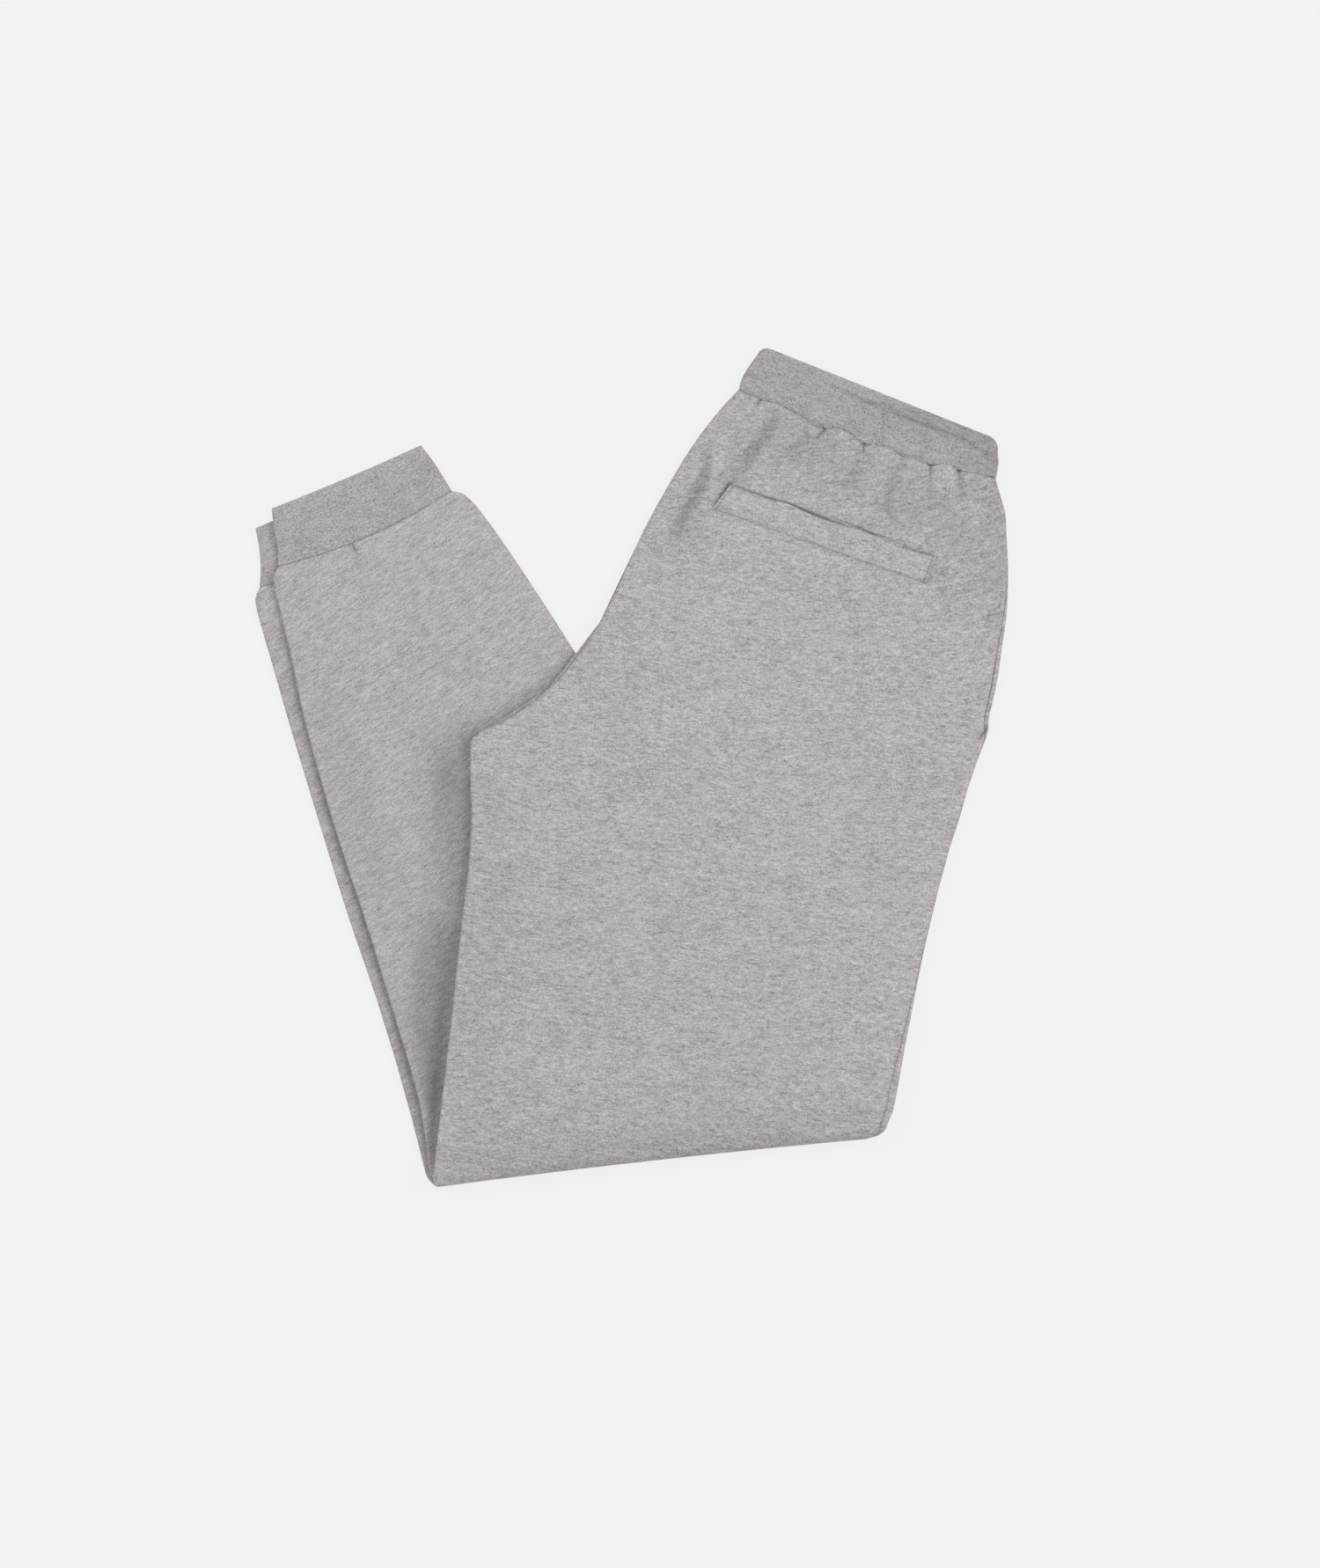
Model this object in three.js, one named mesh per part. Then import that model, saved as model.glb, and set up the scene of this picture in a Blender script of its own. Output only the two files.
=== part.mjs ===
// Jogger sweatpants, folded in half lengthwise with the fronts inside, then folded at the knee
// with the lower legs tucked under and turned out to the left. Millimetres, +Z up, resting on z = 0.
// +Y runs from the knee fold towards the waistband. The origin is on the surface, at the middle of
// the folded garment's footprint.

import * as THREE from 'three';

// Cloth
const CLOTH = 2;                         // wall of the brushed sweat cloth
const GAP = 0.3;                         // clearance between pieces
const PITCH = CLOTH + GAP;
const LAYERS = 4;                        // left back, left front, right front, right back
const STACK = LAYERS * PITCH;            // height of one folded pair of legs
const BAND_WALL = 2.4;                   // waistband cloth and elastic

// Knee fold
const FOLD_HEIGHT = STACK - GAP / 2;     // height of the axis that all four layers turn round
const FOLD_REACH = STACK - GAP / 2;      // from that axis to the outside of the fold
const FOLD_EDGE = new THREE.Vector2(-136, -286.1);   // the outline's lower left corner
const FOLD_ANGLE = THREE.MathUtils.degToRad(6.35);
const FOLD_BOW = -1.8;                   // the fold's middle lies a little nearer the waist
const FOLD_STEPS = 5;
const CORNER_IN = 4;                     // rounding of the fold's corner at the inner seam
const CORNER_OUT = 16;                   // and at the side seam
const CORNER_BEND = 0.97;                // 1 rounds a corner until it runs along the fold

// Edges of the panels
const RIM = 2.4;                         // width of a panel's rounded rim
const RIM_STEP = 0.8;
const RIM_LEAST = 0.28;                  // share of the wall that is left at the very edge
const MARGIN = 12;                       // from a panel's edge to the first column all layers share
const LIP = 3.8;                         // width over which the backs turn to meet round the fronts

// How the upper half comes down from the lower legs to the surface
const DROP_START = 8;
const DROP_END = 110;

// Back pocket
const WELT_WALL = 1.4;
const WELT_RIM = 1.2;
const WELT_EDGE = 0.4;                   // share of the welt's wall at its long edges
const WELT_END = 0.6;                    // and at its sewn ends

// Sections of the upper half, from the waist seam to the knee. in is the edge at the seat seam and
// inner leg, out is the edge at the side seam. bow: how far the middle hangs towards the knee.
// lip: 1 where the backs meet round the fronts. tuck: how far the fronts stay inside. show: how far
// the right front shows beyond the right back. gather: how strongly the waist gathers stand.
const SEAT_ROWS = [
  { inX: 72.8, inY: 256, outX: 247.7, outY: 196, bow: 5, lip: 1, tuck: 4.2, show: 0.4, gather: 1 },
  { inX: 64, inY: 247, outX: 251, outY: 184, bow: 5.5, lip: 1, tuck: 4.2, show: 0.4, gather: 0.85 },
  { inX: 53, inY: 234, outX: 254, outY: 174, bow: 5, lip: 1, tuck: 4.2, show: 0.4, gather: 0.4 },
  { inX: 40, inY: 216, outX: 255, outY: 159, bow: 3, lip: 1, tuck: 4.2, show: 0.4, gather: 0.1 },
  { inX: 26, inY: 193, outX: 256, outY: 139, bow: 1, lip: 1, tuck: 4.2, show: 0.4, gather: 0 },
  { inX: 9, inY: 162, outX: 256, outY: 120, bow: 0, lip: 1, tuck: 4.2, show: 1.2, gather: 0 },
  { inX: -7, inY: 127, outX: 255, outY: 102, bow: 0, lip: 1, tuck: 4.2, show: 2.2, gather: 0 },
  { inX: -22, inY: 97, outX: 252, outY: 81, bow: 0, lip: 1, tuck: 4.2, show: 3, gather: 0 },
  { inX: -37, inY: 74, outX: 249, outY: 60, bow: 0, lip: 1, tuck: 4.2, show: 3.4, gather: 0 },
  { inX: -57, inY: 52, outX: 245, outY: 41, bow: 0, lip: 1, tuck: 4.2, show: 3.2, gather: 0 },
  { inX: -78, inY: 36, outX: 242, outY: 27, bow: 0, lip: 1, tuck: 4.2, show: 3, gather: 0 },
  { inX: -100, inY: 25, outX: 236, outY: 6, bow: 0, lip: 1, tuck: 4.2, show: 0.4, gather: 0 },
  { inX: -109, inY: 18, outX: 230, outY: -11, bow: 0, lip: 0, tuck: 4.2, show: 0.4, gather: 0 },
  { inX: -109, inY: -8, outX: 224, outY: -32, bow: 0, lip: 0, tuck: 0, show: 0.4, gather: 0 },
  { inX: -108, inY: -38, outX: 214, outY: -63, bow: 0, lip: 0, tuck: 0, show: 0.4, gather: 0 },
  { inX: -111, inY: -75, outX: 206, outY: -95, bow: 0, lip: 0, tuck: 0, show: 0.4, gather: 0 },
  { inX: -116, inY: -115, outX: 198, outY: -129, bow: 0, lip: 0, tuck: 0, show: 0.8, gather: 0 },
  { inX: -120, inY: -155, outX: 191, outY: -163, bow: 0, lip: 0, tuck: 0, show: 2, gather: 0 },
  { inX: -124, inY: -190, outX: 185, outY: -193, bow: 0, lip: 0, tuck: 0, show: 3.6, gather: 0 },
  { inX: -128, inY: -225, outX: 181, outY: -215, bow: 0, lip: 0, tuck: 0, show: 5.4, gather: 0 },
  { inX: -131.5, inY: -255, outX: 177, outY: -234, bow: 0, lip: 0, tuck: 0, show: 5.4, gather: 0 },
];

// The same sections go on down the lower legs, from the knee fold to the cuff seam. droop: how far
// the overhanging edge hangs down.
const FOLD_ENDS = {
  seat: { inX: -134, outX: 173.5 },
  left: { inX: -137, outX: 170 },
  right: { inX: -140, outX: 170 },
};
const SHANK_ROWS = {
  left: [
    { inX: -143, inY: -234, outX: 136, outY: -189, bow: 0, droop: 0 },
    { inX: -162, inY: -166, outX: 78, outY: -100, bow: 0, droop: 0 },
    { inX: -183, inY: -98, outX: 21, outY: -12, bow: 0, droop: 0 },
    { inX: -205, inY: -30, outX: -28, outY: 62, bow: 0, droop: 0.8 },
    { inX: -224, inY: 40, outX: -64, outY: 118, bow: 0, droop: 2.2 },
    { inX: -232, inY: 78, outX: -84, outY: 148, bow: 2, droop: 2.4 },
    { inX: -239, inY: 107, outX: -99, outY: 169, bow: 4, droop: 2.4 },
    { inX: -243, inY: 124, outX: -110, outY: 182, bow: 5, droop: 1.8 },
    { inX: -240, inY: 136, outX: -122, outY: 187.5, bow: 6, droop: 0 },
  ],
  right: [
    { inX: -151, inY: -234, outX: 132, outY: -191, bow: 0, droop: 0 },
    { inX: -171, inY: -166, outX: 72, outY: -103, bow: 0, droop: 0 },
    { inX: -194, inY: -98, outX: 12, outY: -17, bow: 0, droop: 0 },
    { inX: -215, inY: -30, outX: -38, outY: 56, bow: 0, droop: 0 },
    { inX: -236, inY: 40, outX: -76, outY: 113, bow: 0, droop: 0 },
    { inX: -247, inY: 79, outX: -95, outY: 140, bow: 2, droop: 0 },
    { inX: -254, inY: 103, outX: -109, outY: 157, bow: 4, droop: 0 },
    { inX: -256, inY: 115.5, outX: -119, outY: 168, bow: 5, droop: 0 },
    { inX: -253, inY: 122, outX: -132, outY: 174.5, bow: 6, droop: 0 },
  ],
};

// Columns that all layers share, as a share of the way between the two margins, with the height of
// the gather that stands there at the waist seam. A zero is a crease between two gathers.
const COLUMNS = [
  { at: 0, crest: 0 },
  { at: 0.08, crest: 0.7 },
  { at: 0.16, crest: 1 },
  { at: 0.24, crest: 0.5 },
  { at: 0.31, crest: 0 },
  { at: 0.41, crest: 1.1 },
  { at: 0.5, crest: 0 },
  { at: 0.575, crest: 0.9 },
  { at: 0.65, crest: 0.1 },
  { at: 0.72, crest: 0.8 },
  { at: 0.79, crest: 0 },
  { at: 0.86, crest: 0.8 },
  { at: 0.92, crest: 0.1 },
  { at: 1, crest: 0.5 },
];

// Soft troughs in what shows from above: a line, its depth in the middle and its half width.
const TROUGHS = {
  seat: [
    { fromX: 96, fromY: 236, toX: 66, toY: 196, depth: 0.5, half: 12 },
    { fromX: 214, fromY: 134, toX: 209, toY: 100, depth: 0.4, half: 14 },
    { fromX: -60, fromY: 20, toX: 60, toY: -60, depth: 0.35, half: 26 },
  ],
  shank: [
    { fromX: -222, fromY: 75, toX: -174, toY: -62, depth: 0.55, half: 20 },
    { fromX: -120, fromY: 120, toX: -150, toY: 60, depth: 0.4, half: 18 },
  ],
};

// Sections of the waistband, from the waist seam to its top edge, and of the cuffs, from the leg
// seam to the open end. wall: share of the full wall.
const BAND_ROWS = [
  { inX: 73, inY: 256.4, outX: 247.9, outY: 196.4, bow: 5, wall: 0.8 },
  { inX: 75, inY: 263.5, outX: 249.5, outY: 206, bow: 4.2, wall: 1 },
  { inX: 79, inY: 271, outX: 249, outY: 212.5, bow: 2.8, wall: 1 },
  { inX: 86.5, inY: 281.9, outX: 249.1, outY: 217, bow: 0.7, wall: 1 },
  { inX: 89.5, inY: 284.3, outX: 247.4, outY: 221.5, bow: 0.2, wall: 0.9 },
  { inX: 93, inY: 284.7, outX: 244.5, outY: 224.2, bow: 0, wall: 0.55 },
];
const CUFF_ROWS = {
  left: [
    { inX: -240.2, inY: 136.4, outX: -122.2, outY: 187.9, bow: 6, wall: 0.8 },
    { inX: -240.5, inY: 148, outX: -128.5, outY: 198, bow: 4, wall: 1 },
    { inX: -243, inY: 162.5, outX: -134.5, outY: 207.5, bow: 2, wall: 1 },
    { inX: -244.5, inY: 175.5, outX: -143, outY: 218.5, bow: 0.8, wall: 0.55 },
  ],
  right: [
    { inX: -253.2, inY: 122.4, outX: -132.2, outY: 174.9, bow: 6, wall: 0.8 },
    { inX: -252.5, inY: 134, outX: -139, outY: 186, bow: 4, wall: 1 },
    { inX: -253.5, inY: 149, outX: -145.5, outY: 196, bow: 2, wall: 1 },
    { inX: -256, inY: 162.5, outX: -153, outY: 206, bow: 0, wall: 0.55 },
  ],
};
const ARC_STEPS = 5;                     // round each turn of a band or cuff
const RUN_STEPS = 8;                     // along each straight run between two turns

// Welt of the back pocket, from its inner end to its side-seam end
const WELT_ENDS = {
  inner: { topX: 67, topY: 191, lowX: 55, lowY: 175.5 },
  outer: { topX: 208, topY: 143, lowX: 200.5, lowY: 124.5 },
};
const WELT_STEPS = 8;
const WELT_SAG = 1.5;                    // the mouth hangs open a little in the middle

// Colours
const HEATHER = 0xb1aeac;
const RIB = 0xa7a3a1;
const ROUGHNESS = 0.95;

const FOLD_OUTWARD = new THREE.Vector2(Math.sin(FOLD_ANGLE), -Math.cos(FOLD_ANGLE));
const FOLD_START = FOLD_EDGE.clone().addScaledVector(FOLD_OUTWARD, -FOLD_REACH);

// A section's line: its start, direction, width and the direction towards its waist or cuff end.
function lineOf(row) {
  const start = new THREE.Vector2(row.inX, row.inY);
  const end = new THREE.Vector2(row.outX, row.outY);
  const along = end.clone().sub(start);
  const width = along.length();
  along.divideScalar(width);
  const ahead = new THREE.Vector2(-along.y, along.x);
  return { start, along, ahead, width };
}

// A point of a section, at a distance from its inner edge.
function pointOn(row, line, distance) {
  const share = distance / line.width;
  const hang = (row.bow ?? 0) * 4 * share * (1 - share);
  return line.start.clone()
    .addScaledVector(line.along, distance)
    .addScaledVector(line.ahead, -hang);
}

// A section that lies on the knee fold's axis.
function foldRow(ends) {
  const slope = Math.tan(FOLD_ANGLE);
  return {
    inX: ends.inX,
    inY: FOLD_START.y + (ends.inX - FOLD_START.x) * slope,
    outX: ends.outX,
    outY: FOLD_START.y + (ends.outX - FOLD_START.x) * slope,
    bow: FOLD_BOW,
  };
}

// All sections of one panel, in order, each with its turn about the knee fold.
function sectionsOf(side) {
  const sections = SEAT_ROWS.map((row) => ({ ...row, turn: 0, part: 'seat' }));
  for (let step = 0; step <= FOLD_STEPS; step += 1) {
    const share = step / FOLD_STEPS;
    const ends = {
      inX: THREE.MathUtils.lerp(FOLD_ENDS.seat.inX, FOLD_ENDS[side].inX, share),
      outX: THREE.MathUtils.lerp(FOLD_ENDS.seat.outX, FOLD_ENDS[side].outX, share),
    };
    sections.push({ ...foldRow(ends), turn: Math.PI * share, part: 'fold' });
  }
  SHANK_ROWS[side].forEach((row) => sections.push({ ...row, turn: Math.PI, part: 'shank' }));
  return sections;
}

// How far the upper half has come down, past the lower left leg's edge.
const EDGE = (() => {
  const rows = SHANK_ROWS.left;
  const low = foldRow(FOLD_ENDS.left);
  const from = new THREE.Vector2(rows[rows.length - 3].outX, rows[rows.length - 3].outY);
  const along = new THREE.Vector2(low.outX, low.outY).sub(from).normalize();
  return { from, outward: new THREE.Vector2(-along.y, along.x) };
})();

function dropAt(point) {
  const past = point.clone().sub(EDGE.from).dot(EDGE.outward);
  return STACK * THREE.MathUtils.smoothstep(past, DROP_START, DROP_END);
}

// Depth of the soft troughs at a point.
function troughAt(list, point) {
  let depth = 0;
  list.forEach((trough) => {
    const from = new THREE.Vector2(trough.fromX, trough.fromY);
    const line = new THREE.Vector2(trough.toX, trough.toY).sub(from);
    const share = THREE.MathUtils.clamp(point.clone().sub(from).dot(line) / line.lengthSq(), 0, 1);
    const away = point.distanceTo(from.addScaledVector(line, share)) / trough.half;
    depth += trough.depth * Math.exp(-away * away);
  });
  return depth;
}

// Distances of a section's columns from its inner edge, for one layer.
function columnsOf(width, edges) {
  const rim = [0, RIM_STEP, RIM];
  const shared = COLUMNS.map((column) => MARGIN + (width - 2 * MARGIN) * column.at);
  return [
    ...rim.map((step) => ({ distance: edges.left + step, shared: MARGIN, crest: 0 })),
    ...shared.map((distance, index) => ({ distance, shared: distance, crest: COLUMNS[index].crest })),
    ...rim.toReversed().map((step) => ({
      distance: width - edges.right - step,
      shared: width - MARGIN,
      crest: COLUMNS[COLUMNS.length - 1].crest,
    })),
  ];
}

// Where one layer's edges lie inside the outline of a section.
function edgesOf(section, layer) {
  const bend = 1 - Math.sqrt(1 - CORNER_BEND * Math.sin(section.turn) ** 2);
  const corner = bend * ((layer.inner + CLOTH) / FOLD_REACH);
  return {
    left: (layer.front ? section.tuck ?? 0 : 0) + CORNER_IN * corner,
    right: (layer.outermost ? section.show ?? 0 : 0) + CORNER_OUT * corner,
  };
}

// The two radii of a layer's wall at a column, with its rounded rim, lip, gathers and troughs.
function wallAt(section, layer, column, width, edges, point) {
  const fromEdge = Math.min(column.distance - edges.left, width - edges.right - column.distance);
  const share = THREE.MathUtils.clamp(fromEdge / RIM, 0, 1);
  const rounding = Math.max(RIM_LEAST, Math.sqrt(1 - (1 - share) ** 2));
  let inner = layer.inner;
  let outer = layer.inner + CLOTH;
  if (layer.roundsOutside) {
    outer = inner + CLOTH * rounding;
  } else {
    inner = outer - CLOTH * rounding;
  }
  if (section.part === 'seat' && layer.lip !== 0 && column.distance < LIP) {
    const turn = PITCH * (section.lip ?? 0) * (1 - column.distance / LIP) ** 2 * layer.lip;
    inner += turn;
    outer += turn;
  }
  if (section.part === 'seat' && layer.outermost && share === 1) {
    outer += (section.gather ?? 0) * column.crest - troughAt(TROUGHS.seat, point);
  }
  if (section.part === 'shank' && layer.innermost && share === 1) {
    inner += troughAt(TROUGHS.shank, point);
  }
  return { inner, outer };
}

// Height lost at a column: the upper half's drop, or the droop of the lower leg's free edge.
function heightLost(section, layer, column, line) {
  if (section.part === 'seat') {
    return dropAt(pointOn(section, line, column.shared));
  }
  const fromFree = line.width - column.distance;
  const droop = layer.side === 'left' ? section.droop ?? 0 : 0;
  return fromFree < MARGIN ? droop * (1 - fromFree / MARGIN) ** 2 : 0;
}

function placed(section, point, radius, lost) {
  const reach = radius * Math.sin(section.turn);
  return new THREE.Vector3(
    point.x + FOLD_OUTWARD.x * reach,
    point.y + FOLD_OUTWARD.y * reach,
    FOLD_HEIGHT + radius * Math.cos(section.turn) - lost,
  );
}

// One panel as a closed wall: a grid on its outer face, a grid on its inner face, rims and ends.
function panelGeometry(layer) {
  const outer = [];
  const inner = [];
  sectionsOf(layer.side).forEach((section) => {
    const line = lineOf(section);
    const edges = edgesOf(section, layer);
    const outerRow = [];
    const innerRow = [];
    columnsOf(line.width, edges).forEach((column) => {
      const point = pointOn(section, line, column.distance);
      const wall = wallAt(section, layer, column, line.width, edges, point);
      const lost = heightLost(section, layer, column, line);
      outerRow.push(placed(section, point, wall.outer, lost));
      innerRow.push(placed(section, point, wall.inner, lost));
    });
    outer.push(outerRow);
    inner.push(innerRow);
  });
  return closedGrid(outer, inner);
}

// A closed solid between two grids of points that face each other.
function closedGrid(outer, inner) {
  const rows = outer.length;
  const columns = outer[0].length;
  const points = [...outer.flat(), ...inner.flat()];
  const o = (row, column) => row * columns + column;
  const n = (row, column) => rows * columns + row * columns + column;
  const faces = [];
  for (let row = 0; row < rows - 1; row += 1) {
    for (let column = 0; column < columns - 1; column += 1) {
      faces.push(o(row, column), o(row + 1, column), o(row + 1, column + 1));
      faces.push(o(row, column), o(row + 1, column + 1), o(row, column + 1));
      faces.push(n(row, column), n(row + 1, column + 1), n(row + 1, column));
      faces.push(n(row, column), n(row, column + 1), n(row + 1, column + 1));
    }
    const last = columns - 1;
    faces.push(n(row, 0), n(row + 1, 0), o(row + 1, 0), n(row, 0), o(row + 1, 0), o(row, 0));
    faces.push(n(row, last), o(row, last), o(row + 1, last));
    faces.push(n(row, last), o(row + 1, last), n(row + 1, last));
  }
  for (let column = 0; column < columns - 1; column += 1) {
    const end = rows - 1;
    faces.push(o(0, column), o(0, column + 1), n(0, column + 1));
    faces.push(o(0, column), n(0, column + 1), n(0, column));
    faces.push(o(end, column), n(end, column + 1), o(end, column + 1));
    faces.push(o(end, column), n(end, column), n(end, column + 1));
  }
  return solidFrom(points, faces);
}

// An indexed geometry whose faces point out.
function solidFrom(points, faces) {
  let volume = 0;
  for (let index = 0; index < faces.length; index += 3) {
    const [a, b, c] = [points[faces[index]], points[faces[index + 1]], points[faces[index + 2]]];
    volume += a.dot(b.clone().cross(c)) / 6;
  }
  const ordered = volume > 0 ? faces : faces.toReversed();
  const geometry = new THREE.BufferGeometry();
  const places = points.flatMap((point) => [point.x, point.y, point.z]);
  geometry.setAttribute('position', new THREE.Float32BufferAttribute(places, 3));
  geometry.setIndex(ordered);
  geometry.computeVertexNormals();
  return geometry;
}

// A closed path across a folded band: straight runs joined by half turns. Each turn has its centre's
// distance from the inner or outer end, its height, its radius, its first heading and its sense.
function bandPath(width, turns) {
  const path = [];
  turns.forEach((turn, index) => {
    const centre = turn.atOuterEnd ? width - turn.inset : turn.inset;
    for (let step = 0; step <= ARC_STEPS; step += 1) {
      const angle = turn.firstAngle + turn.sense * Math.PI * (step / ARC_STEPS);
      const across = Math.cos(angle);
      const up = Math.sin(angle);
      path.push({
        s: centre + turn.radius * across,
        z: turn.height + turn.radius * up,
        normalS: -turn.sense * across,
        normalZ: -turn.sense * up,
      });
    }
    const next = turns[(index + 1) % turns.length];
    const last = path[path.length - 1];
    const nextCentre = next.atOuterEnd ? width - next.inset : next.inset;
    const nextStart = nextCentre + next.radius * Math.cos(next.firstAngle);
    for (let step = 1; step < RUN_STEPS; step += 1) {
      path.push({ ...last, s: THREE.MathUtils.lerp(last.s, nextStart, step / RUN_STEPS) });
    }
  });
  return path;
}

const UP = Math.PI / 2;

// The waistband folded in four: two turns at the side seams, and at the inner end the centre back
// turned round the centre front.
function waistTurns(wall) {
  const pitch = wall + GAP;
  const level = (layer) => wall / 2 + layer * pitch;
  const side = { atOuterEnd: true, inset: (pitch + wall) / 2, radius: pitch / 2 };
  const middle = { atOuterEnd: false, inset: 1.5 * pitch + wall / 2 };
  return [
    { ...side, height: level(2.5), firstAngle: UP, sense: -1 },
    { ...middle, height: level(1.5), radius: pitch / 2, firstAngle: UP, sense: 1 },
    { ...side, height: level(0.5), firstAngle: UP, sense: -1 },
    { ...middle, height: level(1.5), radius: 1.5 * pitch, firstAngle: -UP, sense: -1 },
  ];
}

// A cuff lying flat: a turn at each end.
function cuffTurns(wall, base) {
  const pitch = wall + GAP;
  const turn = { inset: (pitch + wall) / 2, radius: pitch / 2, height: base + wall + GAP / 2 };
  return [
    { ...turn, atOuterEnd: true, firstAngle: UP, sense: -1 },
    { ...turn, atOuterEnd: false, firstAngle: -UP, sense: -1 },
  ];
}

// A folded band as a closed wall, open at both its edges.
function bandGeometry(rows, wall, turns) {
  const points = [];
  let count = 0;
  rows.forEach((row) => {
    const line = lineOf(row);
    const path = bandPath(line.width, turns);
    count = path.length;
    [1, -1].forEach((face) => {
      const offset = (face * wall * row.wall) / 2;
      path.forEach((place) => {
        const spot = pointOn(row, line, place.s + offset * place.normalS);
        points.push(new THREE.Vector3(spot.x, spot.y, place.z + offset * place.normalZ));
      });
    });
  });
  const at = (row, face, index) => (row * 2 + face) * count + (index % count);
  const faces = [];
  for (let index = 0; index < count; index += 1) {
    for (let row = 0; row < rows.length - 1; row += 1) {
      const a = at(row, 0, index);
      const b = at(row, 0, index + 1);
      const c = at(row + 1, 0, index + 1);
      const d = at(row + 1, 0, index);
      const e = at(row, 1, index);
      const f = at(row, 1, index + 1);
      const g = at(row + 1, 1, index + 1);
      const h = at(row + 1, 1, index);
      faces.push(a, b, c, a, c, d, e, g, f, e, h, g);
    }
    const end = rows.length - 1;
    faces.push(at(0, 0, index), at(0, 1, index + 1), at(0, 0, index + 1));
    faces.push(at(0, 0, index), at(0, 1, index), at(0, 1, index + 1));
    faces.push(at(end, 0, index), at(end, 0, index + 1), at(end, 1, index + 1));
    faces.push(at(end, 0, index), at(end, 1, index + 1), at(end, 1, index));
  }
  return solidFrom(points, faces);
}

// The welt: the right back's outer face under it, moved out, with a rounded top.
function weltGeometry() {
  const { inner, outer } = WELT_ENDS;
  const under = STACK;                   // the right back's outer face and the clearance
  const upper = [];
  const lower = [];
  for (let step = 0; step <= WELT_STEPS; step += 1) {
    const share = step / WELT_STEPS;
    const sag = WELT_SAG * 4 * share * (1 - share);
    const top = new THREE.Vector2(
      THREE.MathUtils.lerp(inner.topX, outer.topX, share),
      THREE.MathUtils.lerp(inner.topY, outer.topY, share) - sag,
    );
    const low = new THREE.Vector2(
      THREE.MathUtils.lerp(inner.lowX, outer.lowX, share),
      THREE.MathUtils.lerp(inner.lowY, outer.lowY, share),
    );
    const height = top.distanceTo(low);
    const atEnd = step === 0 || step === WELT_STEPS;
    const full = atEnd ? WELT_WALL * WELT_END : WELT_WALL;
    const across = [
      { from: 0, wall: full * WELT_EDGE },
      { from: WELT_RIM, wall: full },
      { from: height - WELT_RIM, wall: full },
      { from: height, wall: full * WELT_EDGE },
    ];
    upper.push(across.map(({ from, wall }) => {
      const spot = low.clone().lerp(top, from / height);
      return new THREE.Vector3(spot.x, spot.y, under + wall);
    }));
    lower.push(across.map(({ from }) => {
      const spot = low.clone().lerp(top, from / height);
      return new THREE.Vector3(spot.x, spot.y, under);
    }));
  }
  return closedGrid(upper, lower);
}

function cloth(name, geometry, color) {
  const material = new THREE.MeshStandardMaterial({ color, roughness: ROUGHNESS, metalness: 0 });
  const mesh = new THREE.Mesh(geometry, material);
  mesh.name = name;
  return mesh;
}

const layerInner = (index) => GAP / 2 + index * PITCH;

// The four layers, from the inside of the knee fold to its outside. lip: 1 where the layer's edge
// turns outwards to meet the other back at the seat seam, -1 where it turns inwards.
const PANELS = [
  { name: 'left_back_panel', side: 'left', front: false, lip: 1, roundsOutside: false, innermost: true },
  { name: 'left_front_panel', side: 'left', front: true, lip: 0, roundsOutside: true },
  { name: 'right_front_panel', side: 'right', front: true, lip: 0, roundsOutside: false },
  { name: 'right_back_panel', side: 'right', front: false, lip: -1, roundsOutside: true, outermost: true },
];

const garment = new THREE.Group();
PANELS.forEach((panel, index) => {
  const layer = { ...panel, inner: layerInner(index) };
  garment.add(cloth(panel.name, panelGeometry(layer), HEATHER));
});
garment.add(cloth('waistband', bandGeometry(BAND_ROWS, BAND_WALL, waistTurns(BAND_WALL)), RIB));
['left', 'right'].forEach((side) => {
  const base = side === 'left' ? 2 * PITCH : 0;
  const geometry = bandGeometry(CUFF_ROWS[side], CLOTH, cuffTurns(CLOTH, base));
  garment.add(cloth(`${side}_cuff`, geometry, RIB));
});
garment.add(cloth('back_pocket_welt', weltGeometry(), HEATHER));

export default garment;
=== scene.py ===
"""Heather grey jogger sweatpants, folded in half lengthwise and again at the knee.

The garment lies on a pale surface and is seen from straight above. Sizes are in millimetres in the
frame of the solids, +Y towards the waistband, and each mesh is made in metres. Every piece is a thin
closed shell on the form of its solid, with the rims, gathers, creases and sewing of the real one.
"""

import logging
import math
from dataclasses import astuple, dataclass, fields
from enum import Enum

import bmesh
import bpy
import numpy as np
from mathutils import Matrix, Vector


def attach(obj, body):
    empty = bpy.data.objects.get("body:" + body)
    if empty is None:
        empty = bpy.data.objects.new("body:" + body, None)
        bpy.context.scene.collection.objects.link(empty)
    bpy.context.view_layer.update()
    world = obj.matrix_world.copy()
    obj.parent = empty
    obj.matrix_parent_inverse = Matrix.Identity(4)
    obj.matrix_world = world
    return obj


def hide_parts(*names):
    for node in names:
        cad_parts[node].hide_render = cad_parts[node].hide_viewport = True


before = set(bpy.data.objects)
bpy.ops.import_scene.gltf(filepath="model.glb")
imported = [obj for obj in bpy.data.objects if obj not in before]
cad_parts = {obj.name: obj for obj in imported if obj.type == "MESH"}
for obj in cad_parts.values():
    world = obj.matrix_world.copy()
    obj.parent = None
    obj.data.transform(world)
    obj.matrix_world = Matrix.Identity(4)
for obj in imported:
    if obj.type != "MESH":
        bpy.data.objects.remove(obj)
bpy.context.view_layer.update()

LOG = logging.getLogger("joggers")
MM = 0.001
BODY = "root"

# Cloth and its stack
CLOTH = 2.0
GAP = 0.3
PITCH = CLOTH + GAP
LAYERS = 4
STACK = LAYERS * PITCH
FOLD_HEIGHT = STACK - GAP / 2

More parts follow.
